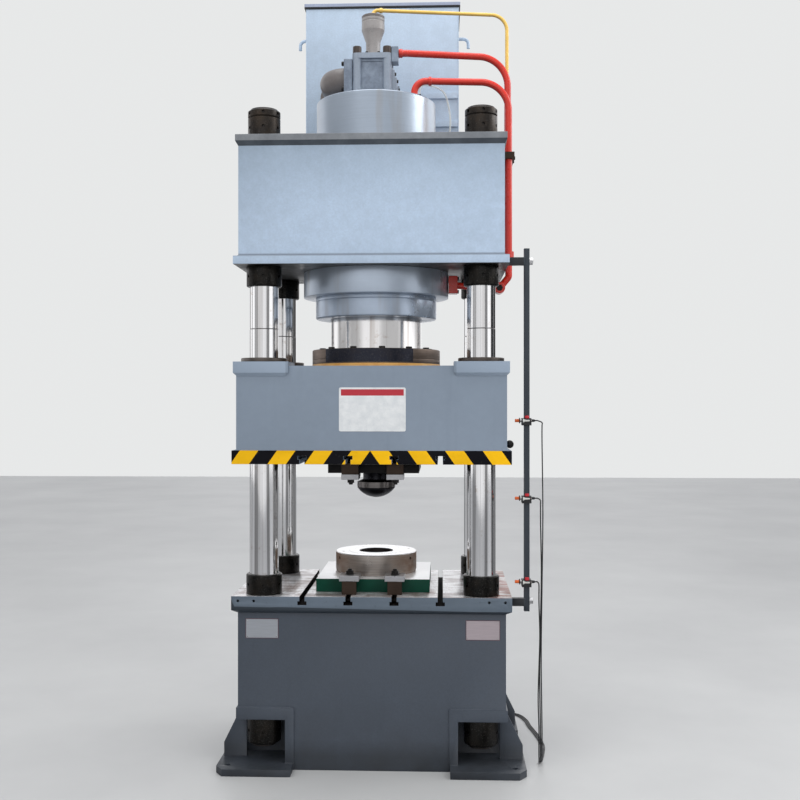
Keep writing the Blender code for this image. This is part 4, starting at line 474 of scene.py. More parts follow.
def table_look():
    """Planed steel on top with rust and coolant stains, paint on the edges with painted shade on faces
    turned down, and slots painted near black: dark steel with painted shade in the recess.
    """
    color = lin(90, 102, 114)
    look = Look("table_steel_and_enamel", color, 0.42)
    x, y, z = look.xyz()[0:3]
    paint = look.fade(shade(color, 0.95), shade(color, 1.25), look.noise(3.0, 5.0, 0.6))
    paint = look.fade(paint, shade(color, 0.5), look.noise(60.0, 4.0, 0.7), 0.62, 0.78, 0.5)
    # faces turned down, such as the lip's lower chamfer, are painted darker as painted shade
    under = look.below(look.normal()[2], -0.25)
    paint = look.mix(look.times(under, 0.75), paint, lin(26, 34, 42))
    lay = look.noise(420.0, 2.0, 0.5, look.scaled(1.0, 0.04, 1.0))
    steel = look.fade(lin(214, 214, 216), lin(240, 240, 240), lay)
    smear = look.noise(11.0, 5.0, 0.7, look.scaled(0.45, 2.2, 1.0), 0.8)
    steel = look.fade(steel, lin(134, 120, 118), smear, 0.50, 0.57, 0.72)
    corner = look.span(x, 0.40, 0.45)
    steel = look.mix(look.times(corner, 0.6), steel, lin(172, 170, 164))
    rusty = look.times(corner, look.span(smear, 0.46, 0.53, 0.0, 0.95))
    steel = look.mix(rusty, steel, lin(138, 62, 44))
    stain = look.noise(5.5, 6.0, 0.7, look.scaled(1.0, 0.6, 1.0), 0.6)
    steel = look.fade(steel, lin(140, 118, 106), stain, 0.50, 0.66, 0.8)
    steel = look.fade(steel, lin(112, 66, 50), look.noise(13.0, 5.0, 0.7), 0.58, 0.72, 0.85)
    up = look.above(look.normal()[2], 0.7)
    cell = look.math("ADD", look.math("DIVIDE", x, SLOT_PITCH), 0.5)
    near = look.below(look.off(cell, look.math("ROUND", cell)), SLOT_HALF / SLOT_PITCH)
    inside = look.below(look.math("ABSOLUTE", x), SLOTS_X)
    high = look.above(z, SLOT_FLOOR_Z)
    back = look.below(look.math("ABSOLUTE", y), TABLE_SIDE_Y)
    slot = look.times(look.times(near, inside), look.times(high, back))
    top = look.times(up, look.above(z, TABLE_Z - 0.0006))
    tone = look.mix(top, paint, steel)
    # the slots' walls and floors are painted near black: dark bare steel with painted shade in the recess
    sunk = look.times(slot, look.math("SUBTRACT", 1.0, top))
    tone = look.mix(sunk, tone, lin(30, 27, 26))
    look.set("Base Color", tone)
    look.set("Metallic", look.times(top, 0.6))
    look.set("Specular IOR Level", look.blend(sunk, 0.5, 0.1))
    matt = look.blend(sunk, 0.44, 0.8)
    look.set("Roughness", look.blend(top, matt, look.span(stain, 0.3, 0.7, 0.22, 0.5)))
    look.bump(look.times(lay, top), 0.1, 0.0004)
    look.bump(look.noise(120.0, 2.0, 0.5), 0.08, 0.0008)
    return look.mat


def hazard_look():
    """Yellow and black tape on the slide plate's front edge, mirrored at the centre; paint elsewhere."""
    yellow, black = lin(255, 196, 22), lin(12, 12, 18)
    look = Look("hazard_tape_and_enamel", yellow, 0.4)
    x, y, z = look.xyz()[0:3]
    across = look.off(x, TAPE_X)
    down = look.times(look.math("SUBTRACT", SLIDE_LOW_Z, z), TAPE_SLANT)
    cell = look.math("DIVIDE", look.math("SUBTRACT", across, down), TAPE_PITCH)
    dark = look.above(look.math("FRACT", look.math("ADD", cell, 4.0)), 0.5)
    wear = look.span(look.noise(34.0, 5.0, 0.7), 0.63, 0.74, 0.0, 0.5)
    tape = look.mix(dark, look.fade(yellow, shade(yellow, 0.8), look.noise(5.0, 3.0, 0.6), 0.4, 0.8), black)
    tape = look.mix(wear, tape, look.mix(dark, shade(yellow, 0.62), lin(66, 64, 62)))
    facing = look.below(look.normal()[1], -0.7)
    front = look.times(facing, look.below(y, SLIDE_Y + 0.0006))
    sole = look.below(look.normal()[2], -0.7)
    body = look.fade(shade(PAINT_SLIDE_SHADED, 0.9), shade(PAINT_SLIDE_SHADED, 1.1), look.noise(3.0, 5.0, 0.6))
    tone = look.mix(sole, body, lin(150, 148, 144))
    tone = look.mix(front, tone, tape)
    look.set("Base Color", tone)
    look.set("Metallic", look.times(sole, 0.8))
    look.set("Roughness", look.span(look.noise(20.0, 3.0, 0.5), 0.3, 0.7, 0.42, 0.58))
    look.set("Specular IOR Level", 0.12)
    look.bump(look.noise(90.0, 3.0, 0.6), 0.12, 0.0006)
    return look.mat


def die_plate_look():
    """Green enamel on the edges, darkened as painted shade, and a milled top."""
    # the green is darker than the enamel's own tone, as painted shade
    green = lin(0, 62, 46)
    look = Look("green_enamel_and_milled_top", green, 0.36)
    lay = look.noise(420.0, 2.0, 0.5, look.scaled(0.05, 1.0, 1.0))
    paint = look.fade(shade(green, 0.65), shade(green, 1.25), look.noise(9.0, 5.0, 0.65))
    top = look.above(look.normal()[2], 0.7)
    steel = look.fade(lin(226, 226, 226), lin(246, 246, 246), lay)
    look.set("Base Color", look.mix(top, paint, steel))
    look.set("Metallic", look.times(top, 0.55))
    look.set("Roughness", look.blend(top, 0.46, 0.3))
    look.set("Specular IOR Level", look.blend(top, 0.2, 0.5))
    look.bump(look.noise(140.0, 2.0, 0.5), 0.1, 0.0005)
    return look.mat


def die_look():
    """A turned ring that has rusted brown round its side and stayed bright on the face."""
    steel = lin(158, 152, 146)
    look = Look("ring_die_rusted_steel", steel, 0.42, 0.85)
    rings = look.noise(260.0, 2.0, 0.5, look.scaled(0.03, 0.03, 1.0))
    rust = look.noise(10.0, 6.0, 0.68, look.scaled(1.0, 1.0, 1.6))
    edge = look.span(look.math("ABSOLUTE", look.xyz()[0]), 0.02, 0.14, 0.22, 0.95)
    side = look.below(look.normal()[2], 0.5)
    cover = look.times(look.span(rust, 0.30, 0.62, 0.25, 1.0), look.blend(side, 0.05, edge))
    # the bore's wall is painted near black, as painted shade inside the hole
    inside = look.times(side, look.below(look.reach(), DIE_HOLE_R))
    tone = look.fade(shade(steel, 0.85), shade(steel, 1.15), rings)
    tone = look.mix(side, look.fade(lin(222, 222, 222), lin(246, 246, 246), rings), tone)
    tone = look.mix(cover, tone, lin(112, 86, 66))
    look.set("Base Color", look.mix(inside, tone, lin(30, 27, 25)))
    look.set("Metallic", look.math("SUBTRACT", 0.95, look.times(cover, 0.55)))
    look.set("Roughness", look.span(cover, 0.0, 1.0, 0.24, 0.58))
    look.bump(rust, 0.12, 0.0008)
    look.bump(rings, 0.12, 0.0003)
    return look.mat


def plate_look(name, tint):
    """A bare aluminium plate, finely brushed along its length."""
    look = Look(name, tint, 0.38, 0.6)
    brush = look.noise(900.0, 2.0, 0.5, look.scaled(0.02, 1.0, 1.0))
    patch = look.noise(16.0, 3.0, 0.6)
    look.paint(look.fade(shade(tint, 0.88), shade(tint, 1.06), brush), look.span(patch, 0.3, 0.7, 0.32, 0.5))
    look.bump(brush, 0.06, 0.0002)
    return look.mat


def sign_look():
    """A printed plate left blank: white field, red band along the top, pale border."""
    look = Look("blank_sign_print", lin(226, 229, 230), 0.32)
    x, _, z = look.xyz()[0:3]
    white = look.fade(lin(232, 234, 234), lin(212, 216, 218), look.noise(40.0, 3.0, 0.6), 0.35, 0.75)
    wide = look.below(look.off(x, SIGN_X), SIGN_W / 2 - 0.007)
    tall = look.times(look.above(z, SIGN_Z1 - 0.0290), look.below(z, SIGN_Z1 - 0.0064))
    red = look.times(wide, tall)
    look.set("Base Color", look.mix(red, white, lin(182, 24, 44)))
    look.set("Coat Weight", 0.3)
    look.set("Roughness", look.span(look.noise(30.0, 3.0, 0.5), 0.3, 0.7, 0.28, 0.4))
    return look.mat


def clear_look():
    look = Look("clear_hose_plastic", lin(222, 226, 224), 0.16)
    look.set("Alpha", look.span(look.noise(30.0, 2.0, 0.5), 0.3, 0.7, 0.42, 0.6))
    look.set("Coat Weight", 0.5)
    look.set("IOR", 1.5)
    return look.mat


M.update({
    "slide": slide_look(),
    "table": table_look(),
    "hazard": hazard_look(),
    "die_plate": die_plate_look(),
    "die": die_look(),
    "plate": plate_look("bare_plate_grey", lin(172, 176, 182)),
    "plate_warm": plate_look("bare_plate_warm", lin(190, 178, 182)),
    "plate_back": plate_look("plate_backing_and_painted_shadow", lin(104, 84, 92)),
    "sign": sign_look(),
    "clear": clear_look(),
})

# The material slot of each look's pieces
SLOTS = {look: slot for slot, looks in {
    "chrome_steel": "column ram",
    "cylinder_paint": "cylinder",
    "machined_steel": "gland band strap steel",
    "dark_steel": "flange blued punch heel",
    "bush_metal": "bush",
    "black_oxide": "screw worn_screw bolt oxide oxide_low",
    "die_steel": "die",
    "valve_casting": "valve pilot",
    "elbow_paint": "elbow",
    "tank_paint": "lid",
    "red_paint": "red",
    "pilot_paint": "yellow",
    "clear_hose": "clear",
    "cable_jacket": "cable",
    "table_steel": "plate plate_warm plate_back",
    "slide_paint": "sign",
    "beam_paint": "beam",
    "switch_plastic": "sensor_black sensor_red",
}.items() for look in looks.split()}

# Mesh helpers


def mesh_object(name, points, faces):
    mesh = bpy.data.meshes.new(name)
    mesh.from_pydata([tuple(p) for p in points], [], faces)
    form = bmesh.new()
    form.from_mesh(mesh)
    bmesh.ops.recalc_face_normals(form, faces=form.faces)
    form.to_mesh(mesh)
    form.free()
    obj = bpy.data.objects.new(name, mesh)
    bpy.context.scene.collection.objects.link(obj)
    return obj


def surface(obj, look, angle, bevel):
    """Material, smooth shading and, with a bevel, eased edges."""
    obj.data.materials.clear()
    obj.data.materials.append(M[look])
    obj.data.shade_smooth()
    obj.data.set_sharp_from_angle(angle=math.radians(angle))
    if bevel:
        ease = obj.modifiers.new("ease", "BEVEL")
        ease.width = bevel
        ease.segments = 2
        ease.limit_method = "ANGLE"
        ease.angle_limit = math.radians(30)
        ease.harden_normals = True


def dress(obj, body, look, slot=None, nodes=(), bevel=0.0, angle=None):
    """Surface, the solids that a piece stands for and the body that it rides.

    The slot is worked out, from its look's own one when none is given, but not put on the piece.
    """
    surface(obj, look, angle or (35 if bevel else 28), bevel)
    if nodes:
        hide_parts(*nodes)
    slot = SLOTS[look] if slot is None else slot
    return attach(obj, body) if body else obj


def polish(node, look, bevel):
    """Keeps a CAD node, welded and with eased edges, in a new material."""
    obj = NODES[node]
    obj.modifiers.new("weld", "WELD").merge_threshold = 0.00002
    flat = obj.modifiers.new("flat", "DECIMATE")
    flat.decimate_type = "DISSOLVE"
    flat.angle_limit = math.radians(0.6)
    surface(obj, look, 35, bevel)


def hexed(radius, angle):
    """The distance to a hexagon's side at this angle, radius being half its width across flats."""
    return radius / math.cos(angle % (math.pi / 3) - math.pi / 6)


def circle(count, radius, start=0.0):
    """Evenly spaced points on a circle, the first at an angle in degrees."""
    angles = [math.radians(start + 360 * i / count) for i in range(count)]
    return [(radius * math.cos(a), radius * math.sin(a)) for a in angles]


def bar(radius, low, high):
    """The profile of a plain round bar."""
    return [(0, low), (radius, low), (radius, high), (0, high)]


def lathe(name, profile, sides=96, centre=(0, 0, 0), axis="Z", turn=0.0):
    """Revolves (radius, height) round an axis; a third item "hex" makes that ring a hexagon."""
    solid = profile[0][0] == 0 and profile[-1][0] == 0
    points, rings = [], []
    for item in profile:
        radius, height = item[0], item[1]
        if radius == 0:
            rings.append([len(points)])
            points.append((0, 0, height))
            continue
        rings.append(range(len(points), len(points) + sides))
        for i in range(sides):
            angle = 2 * math.pi * i / sides
            reach = hexed(radius, angle) if len(item) > 2 else radius
            points.append((reach * math.cos(angle + turn), reach * math.sin(angle + turn), height))
    pairs = list(zip(rings, rings[1:]))
    if not solid:
        pairs.append((rings[-1], rings[0]))
    faces = []
    for low, high in pairs:
        for i in range(sides):
            j = (i + 1) % sides
            if len(low) == 1:
                faces.append((low[0], high[j], high[i]))
            elif len(high) == 1:
                faces.append((high[0], low[i], low[j]))
            else:
                faces.append((low[i], low[j], high[j], high[i]))
    obj = mesh_object(name, points, faces)
    degrees, about = AXIS_TURNS[axis]
    obj.data.transform(Matrix.Translation(Vector(centre)) @ Matrix.Rotation(math.radians(degrees), 4, about))
    return obj


def eased(profile, radius=0.0012):
    """The closed or pole-to-pole profile with each corner cut by a small chamfer in two steps."""
    count = len(profile)
    solid = profile[0][0] == 0 and profile[-1][0] == 0
    out = []
    for i, corner in enumerate(profile):
        here = Vector(corner)
        if solid and i in (0, count - 1):
            out.append(tuple(here))
            continue
        back = Vector(profile[i - 1]) - here
        ahead = Vector(profile[(i + 1) % count]) - here
        if back.length < 1e-7 or ahead.length < 1e-7 or abs(back.angle(ahead) - math.pi) < 0.35:
            out.append(tuple(here))
            continue
        cut = min(radius, back.length * 0.4, ahead.length * 0.4)
        start = here + back.normalized() * cut
        stop = here + ahead.normalized() * cut
        middle = (start + stop) / 2 * 0.45 + here * 0.55
        out += [tuple(start), tuple(middle), tuple(stop)]
    return out


def box(name, low, high):
    points = [(x, y, z) for z in (low[2], high[2]) for y in (low[1], high[1]) for x in (low[0], high[0])]
    faces = [(0, 2, 3, 1), (4, 5, 7, 6), (0, 1, 5, 4), (2, 6, 7, 3), (0, 4, 6, 2), (1, 3, 7, 5)]
    return mesh_object(name, points, faces)


def prism(name, outline, axis, low, high):
    def corner(a, b, along):
        return {"X": (along, a, b), "Y": (a, along, b), "Z": (a, b, along)}[axis]

    count = len(outline)
    points = [corner(a, b, low) for a, b in outline] + [corner(a, b, high) for a, b in outline]
    faces = [tuple(range(count)), tuple(range(2 * count - 1, count - 1, -1))]
    faces += [(i, (i + 1) % count, count + (i + 1) % count, count + i) for i in range(count)]
    return mesh_object(name, points, faces)


def joined(name, pieces):
    form = bmesh.new()
    for piece in pieces:
        form.from_mesh(piece.data)
        bpy.data.objects.remove(piece, do_unlink=True)
    mesh = bpy.data.meshes.new(name)
    form.to_mesh(mesh)
    form.free()
    obj = bpy.data.objects.new(name, mesh)
    bpy.context.scene.collection.objects.link(obj)
    return obj


def carved(target, tool, operation="DIFFERENCE"):
    """Applies a Boolean and drops the tool."""
    modifier = target.modifiers.new("carve", "BOOLEAN")
    modifier.operation = operation
    modifier.solver = "EXACT"
    modifier.object = tool
    graph = bpy.context.evaluated_depsgraph_get()
    mesh = bpy.data.meshes.new_from_object(target.evaluated_get(graph))
    target.modifiers.clear()
    target.data = mesh
    bpy.data.objects.remove(tool, do_unlink=True)
    return target


def rounded_route(corners, radii, steps):
    corners = [Vector(c) for c in corners]
    route = [corners[0]]
    for before, corner, after, radius in zip(corners, corners[1:], corners[2:], radii):
        back, ahead = (before - corner).normalized(), (after - corner).normalized()
        half = back.angle(ahead) / 2
        reach = radius / math.tan(half)
        centre = corner + (back + ahead).normalized() * (radius / math.sin(half))
        start, end = corner + back * reach - centre, corner + ahead * reach - centre
        sweep = start.angle(end)
        for i in range(steps + 1):
            share = i / steps
            low, high = math.sin((1 - share) * sweep), math.sin(share * sweep)
            route.append(centre + (start * low + end * high) / math.sin(sweep))
    route.append(corners[-1])
    return route


def swept(name, route, radius, sides=20, wobble=0.0):
    """A round bar along the route. With wobble, its radius ripples as a weld bead's does."""
    route = [Vector(p) for p in route]
    count = len(route)
    tangents = []
    for i in range(count):
        ahead = route[min(i + 1, count - 1)] - route[i]
        behind = route[i] - route[max(i - 1, 0)]
        tangents.append((ahead.normalized() + behind.normalized()).normalized())
    side = tangents[0].orthogonal().normalized()
    points = []
    for i, (centre, tangent) in enumerate(zip(route, tangents)):
        if i:
            side = tangents[i - 1].rotation_difference(tangent) @ side
        side = (side - tangent * side.dot(tangent)).normalized()
        other = tangent.cross(side)
        grow = 1 + wobble * random.uniform(-1, 1)
        for k in range(sides):
            angle = 2 * math.pi * (k + 0.5) / sides
            points.append(centre + radius * grow * (math.cos(angle) * side + math.sin(angle) * other))
    faces = [tuple(range(sides)), tuple(range(count * sides - 1, count * sides - sides - 1, -1))]
    for i in range(count - 1):
        for k in range(sides):
            n = (k + 1) % sides
            faces.append((i * sides + k, i * sides + n, (i + 1) * sides + n, (i + 1) * sides + k))
    return mesh_object(name, points, faces)


def bead(name, start, stop, body, look, radius=0.0032, step=0.0045):
    """A weld bead along a straight seam, half sunk in it."""
    start, stop = Vector(start), Vector(stop)
    count = max(2, int((stop - start).length / step))
    route = [start.lerp(stop, i / count) for i in range(count + 1)]
    return dress(swept(name, route, radius, 8, 0.16), body, look, "", angle=80)


def socket_head(name, centre, axis, radius, height, body="frame", look="screw"):
    """A cap screw's head with a knurl-smooth rim and a hexagon recess, standing on centre along axis."""
    recess = radius * 0.48
    profile = [
        (0, 0), (radius, 0), (radius, height * 0.86), (radius * 0.93, height), (radius * 0.66, height),
        (recess, height, "hex"), (recess, height * 0.45, "hex"), (0, height * 0.45),
    ]
    return dress(lathe(name, profile, 24, centre, axis), body, look)


def hex_head(name, centre, axis, radius, height, body="frame", look="screw", turn=0.0):
    """A hexagon bolt head on a thin washer; radius is half its width across flats."""
    profile = [
        (0, 0), (radius * 1.32, 0), (radius * 1.32, height * 0.14), (radius * 1.1, height * 0.14),
        (radius, height * 0.16, "hex"), (radius, height * 0.92, "hex"), (radius * 0.9, height), (0, height),
    ]
    return dress(lathe(name, profile, 24, centre, axis, turn), body, look)


# Frame: plates, base, beam

def drill(profile, sides, z, degrees):
    """A tool for a level hole at a height, its profile running outwards from the middle line."""
    hole = lathe("hole", profile, sides, axis="X")
    hole.data.transform(Matrix.Translation((0, 0, z)) @ Matrix.Rotation(math.radians(degrees), 4, "Z"))
    return hole


def frame_blocks():
    for node, look, bevel in (
        ("base_frame", "base", 0.0022), ("table_plate", "table", 0.0012), ("top_beam", "beam", 0.0018),
        ("slide", "slide", 0.0025), ("slide_plate", "hazard", 0.0012), ("oil_tank", "tank", 0.0015),
        ("die_plate", "die_plate", 0.0010), ("adapter_plate", "adapter", 0.0015),
        ("pipe_clamp", "heel", 0.0008), ("limit_rod", "rod", 0.0012),
    ):
        polish(node, look, bevel)


def round_nut(name, look, radius, rings, hole_z):
    """One nut's mesh, turned and drilled for a tommy bar, on each of the four columns."""
    nut = lathe(name + "_mesh", eased(rings, 0.0010), 96)
    hole = [(0, radius - 0.011), (0.0058, radius - 0.009), (0.0058, radius + 0.01), (0, radius + 0.01)]
    holes = [drill(hole, 16, z, -84 + 60 * i) for z in hole_z for i in range(6)]
    carved(nut, joined("holes", holes))
    mesh = nut.data
    bpy.data.objects.remove(nut, do_unlink=True)
    for tag, sx, sy in TAGS:
        obj = bpy.data.objects.new(f"{name}_{tag}_turned", mesh.copy())
        bpy.context.scene.collection.objects.link(obj)
        obj.data.transform(Matrix.Translation((sx * COLUMN_X, sy * COLUMN_Y, 0)))
        dress(obj, "frame", look, nodes=[f"{name}_{tag}"])


def columns_and_nuts():
    low, high = (corner.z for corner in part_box("column_fl"))
    table_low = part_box("table_plate")[0].z
    tail, radius, upper, step = 0.044, COLUMN_R, 0.0515, COLUMN_STEP_Z
    profile = [
        (0, low), (tail, low), (tail, table_low), (radius, table_low), (radius, step - 0.0015),
        (radius - 0.0012, step), (radius - 0.0012, step + 0.0012), (upper, step + 0.0022),
        (upper, high - 0.006), (upper - 0.0025, high - 0.0015), (upper - 0.006, high), (0.014, high),
        (0.011, high - 0.004), (0, high - 0.005),
    ]
    for tag, sx, sy in TAGS:
        obj = lathe(f"column_{tag}_ground", profile, 128, (sx * COLUMN_X, sy * COLUMN_Y, 0))
        dress(obj, "frame", "column", nodes=["column_" + tag], angle=25)
    for name, bore in (("base_nut", tail + GAP), ("table_nut", radius + GAP), ("beam_nut", upper + GAP)):
        lo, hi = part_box(name + "_fl")
        r = (hi.x - lo.x) / 2
        c = 0.004
        if name == "table_nut":
            rings = [(bore, lo.z), (r, lo.z), (r, hi.z - c), (r - c, hi.z), (bore, hi.z)]
        else:
            rings = [(bore, lo.z), (r - c, lo.z), (r, lo.z + c), (r, hi.z), (bore, hi.z)]
        # the nuts under the beam, on the table and at the base take the shaded copy of the black oxide
        round_nut(name, "oxide_low", r, rings, [(lo.z + hi.z) / 2])
    lo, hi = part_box("crown_nut_fl")
    r, bore, joint = (hi.x - lo.x) / 2, upper + GAP, hi.z - 0.027
    rings = [
        (bore, lo.z), (r, lo.z), (r, joint - 0.003), (r - 0.003, joint - 0.0006),
        (r - 0.0035, joint + 0.0004), (r, joint + 0.003), (r, hi.z - 0.004), (r - 0.006, hi.z), (bore, hi.z),
    ]
    # the crown nuts take the lit copy of the black oxide
    round_nut("crown_nut", "oxide", r, rings, [lo.z + 0.0375, joint + 0.014])


def cylinder_and_ram():
    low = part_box("cylinder")[0].z
    top, shoulder = BARREL_TOP_Z, SHOULDER_TOP_Z - GAP
    head, bore, barrel, drum = top - 0.060, 0.180, 0.2275, 0.2765
    profile = [
        (0, head), (bore, head), (bore, low + 0.003), (bore + 0.003, low), (drum, low), (drum, shoulder),
        (barrel, shoulder), (barrel, top - 0.004), (barrel - 0.004, top), (0, top),
    ]
    body = lathe("cylinder_turned", eased(profile, 0.0022), 160)
    ports = [
        lathe("p", bar(0.058, 2.30, 2.50), 48, (VALVE_X, 0, 0)),
        lathe("p", bar(0.010, 2.30, 2.50), 24, (RETURN_X, RETURN_Y, 0)),
    ]
    carved(body, joined("ports", ports))
    dress(body, "frame", "cylinder", nodes=["cylinder"])
    # the fillet weld where the drum leaves the beam's top plate
    ring = [(x, y, BEAM_ROOF_Z + 0.0004) for x, y in circle(300, barrel + GAP)]
    weld = swept("drum_weld", ring + ring[:1], 0.0042, 8, 0.15)
    dress(weld, "frame", "beam", angle=80)

    lo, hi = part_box("gland_ring")
    outer, inner = 0.2305, 0.1735
    gland = [
        (inner + 0.004, lo.z), (outer - 0.004, lo.z), (outer, lo.z + 0.004), (outer, hi.z - 0.016),
        (outer - 0.0015, hi.z - 0.0145), (outer, hi.z - 0.013), (outer, hi.z), (inner, hi.z),
        (inner, lo.z + 0.004),
    ]
    obj = lathe("gland_turned", eased(gland, 0.0015), 160)
    dress(obj, "frame", "gland", nodes=["gland_ring"])

    lo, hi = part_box("ram")
    foot, rod, piston, neck = 0.1855, 0.1725, 0.1796, lo.z + 0.029
    ram = [
        (0, lo.z), (foot, lo.z), (foot, neck), (rod, neck), (rod, hi.z - 0.120), (piston, hi.z - 0.120),
        (piston, hi.z), (0, hi.z),
    ]
    dress(lathe("ram_chromed", eased(ram, 0.0012), 192), "slide", "ram", nodes=["ram"])


def flange_and_spigot():
    low, high = (corner.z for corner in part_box("ram_flange"))
    top = high - 0.008
    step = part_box("ram")[0].z + 0.029 + GAP
    outer, inner, foot = 0.244, 0.173, 0.186
    flange = [
        (foot, low), (outer, low), (outer, low + 0.016), (outer - 0.0012, low + 0.017), (outer, low + 0.018),
        (outer, top - 0.003), (outer - 0.003, top), (inner, top), (inner, step), (foot, step),
    ]
    obj = lathe("ram_flange_turned", eased(flange, 0.0015), 160)
    dress(obj, "slide", "flange", nodes=["ram_flange"])
    for i, (x, y) in enumerate(circle(12, 0.205, -80.5)):
        socket_head(f"flange_screw_{i:02d}", (x, y, top - 0.0006), "Z", 0.012, 0.0086, "slide")
    # dark bands on the rim, front and back; the front one is partly painted shade, dark where the flange's
    # front lies in shadow
    near, far, z0, z1, steps = outer - 0.006, outer + 0.0008, low + 0.004, top - 0.002, 24
    for name, mid in (("front", -90), ("rear", 90)):
        points, faces = [], []
        for i in range(steps + 1):
            a = math.radians(mid - 46 + 83 * i / steps)
            for r, z in ((near, z0), (far, z0), (far, z1), (near, z1)):
                points.append((r * math.cos(a), r * math.sin(a), z))
        for b in range(0, 4 * steps, 4):
            for k in range(4):
                faces.append((b + k, b + (k + 1) % 4, b + 4 + (k + 1) % 4, b + 4 + k))
        faces += [(0, 1, 2, 3), tuple(4 * steps + 3 - k for k in range(4))]
        band = mesh_object(f"flange_band_{name}", points, faces)
        dress(band, "slide", "blued", bevel=0.0006)


def bushes():
    inner, outer, low = COLUMN_R + 0.0004, COLUMN_R + 0.0104, SLIDE_LOW_Z + 2 * GAP
    seat = 1.461 + GAP
    face, top = seat + 0.0125, seat + 0.014
    profile = [
        (inner, low), (outer, low), (outer, seat), (0.083, seat), (0.083, face), (0.0815, top), (0.066, top),
        (0.0655, face), (0.0625, face), (0.062, top), (inner + 0.0012, top), (inner, seat + 0.012),
    ]
    for tag, sx, sy in TAGS:
        x, y = sx * COLUMN_X, sy * COLUMN_Y
        obj = lathe(f"guide_bush_{tag}_turned", eased(profile, 0.0008), 112, (x, y, 0))
        dress(obj, "slide", "bush", nodes=["guide_bush_" + tag])
        for i, (dx, dy) in enumerate(circle(6, 0.0735, 30)):
            spot = (x + dx, y + dy, seat + 0.0132)
            socket_head(f"bush_screw_{tag}_{i}", spot, "Z", 0.0052, 0.0012, "slide")


# Tools

def upper_tool():
    lo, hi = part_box("punch")
    dome_r, dome_h, stem_r = 0.0726, 0.038, 0.0505
    sphere = (dome_r**2 + dome_h**2) / (2 * dome_h)
    widest = math.asin(dome_r / sphere)
    dome = [(0, lo.z)]
    for i in range(1, 17):
        a = widest * i / 16
        dome.append((sphere * math.sin(a), lo.z + sphere * (1 - math.cos(a))))
    edge = lo.z + dome_h
    foot, top = edge + 0.001, edge + 0.024
    dome += [(dome_r, edge + 0.0003), (dome_r - 0.001, foot), (0, foot)]
    dress(lathe("punch_dome", dome, 96), "slide", "punch", nodes=["punch"], angle=40)
    band = [
        (0, foot), (dome_r - 0.0008, foot), (dome_r, edge + 0.002), (dome_r, top - 0.001),
        (dome_r - 0.001, top), (0, top),
    ]
    dress(lathe("punch_band", band, 96), "slide", "band")
    stem = [(0, top), (dome_r - 0.002, top), (stem_r, top + 0.008), (stem_r, hi.z), (0, hi.z)]
    dress(lathe("punch_stem", eased(stem, 0.001), 96), "slide", "punch")


def clamp_set(tag, x, tool_y, seat_z, tool_z, up, strap_w, heel_w, slot_z, body):
    """Strap, heel block, T-bolt and nut of one clamp; up is 1 on the table and -1 on the slide."""
    toe_y = tool_y + 0.042
    back_y = toe_y - 0.100
    heel_y = back_y + 0.003
    bolt_y = heel_y + 0.024 + 0.014
    near = tool_z + up * GAP
    far = near + up * 0.020
    nose = near + up * 0.010
    outline = [(back_y, near), (toe_y, near), (toe_y, nose), (toe_y - 0.020, far), (back_y, far)]
    strap = prism(f"strap_{tag}", outline, "X", x - strap_w / 2, x + strap_w / 2)
    dress(strap, body, "strap", nodes=[tag.replace("_", "_clamp_")], bevel=0.0016)
    low, high = sorted((seat_z + up * GAP, near))
    heel = box(f"heel_{tag}", (x - heel_w / 2, heel_y, low), (x + heel_w / 2, heel_y + 0.024, high))
    dress(heel, body, "heel", bevel=0.0014)
    shank, tip, point = 0.0075, 0.0062, 0.001
    low, high = sorted((slot_z - up * point, far + up * 0.020))
    rings = [(0, low), (shank, low), (shank, high - point), (tip, high), (0, high)]
    if up < 0:
        rings = [(0, low), (tip, low), (shank, low + point), (shank, high), (0, high)]
    dress(lathe(f"stud_{tag}", rings, 24, (x, bolt_y, 0)), body, "screw")
    hex_head(f"nut_{tag}", (x, bolt_y, far), "Z" if up > 0 else "-Z", 0.0122, 0.0138, body, turn=0.4)
    half = 0.014
    low, high = sorted((slot_z - up * GAP, slot_z - up * (GAP + 0.010)))
    head = box(f"tee_{tag}", (x - half, bolt_y - half, low), (x + half, bolt_y + half, high))
    dress(head, body, "screw", bevel=0.001)


def clamps():
    sole, slot = SLIDE_LOW_Z - 0.049, 0.017
    adapter_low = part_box("adapter_plate")[0].z
    die_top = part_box("die_plate")[1].z
    for side, x in (("left", -0.082), ("right", 0.082)):
        clamp_set("upper_" + side, x, -0.168, sole, adapter_low, -1, 0.063, 0.062, sole + slot, "slide")
        clamp_set("lower_" + side, x, -0.207, TABLE_Z, die_top, 1, 0.072, 0.052, TABLE_Z - slot, "frame")


def ring_die():
    lo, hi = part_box("ring_die")
    bore, outer, groove, top = 0.0635, 0.154, 0.104, hi.z
    profile = [
        (bore, lo.z), (outer - 0.002, lo.z), (outer - 0.002, lo.z + 0.006), (outer, lo.z + 0.008),
        (outer, top - 0.003), (outer - 0.003, top), (groove + 0.0006, top), (groove, top - 0.0012),
        (groove - 0.0006, top), (bore + 0.0045, top), (bore + 0.0012, top - 0.0012), (bore, top - 0.0045),
    ]
    die = lathe("ring_die_turned", eased(profile, 0.001), 144)
    holes = [drill(bar(0.006, 0.134, 0.17), 20, top - 0.020, angle) for angle in (-150, -30, 30, 150)]
    for x, y in circle(2, 0.13, 20):
        holes.append(lathe("hole", bar(0.005, top - 0.012, top + 0.01), 20, (x, y, 0)))
    carved(die, joined("holes", holes))
    dress(die, "frame", "die", nodes=["ring_die"])


# Fill valve, elbow, tank

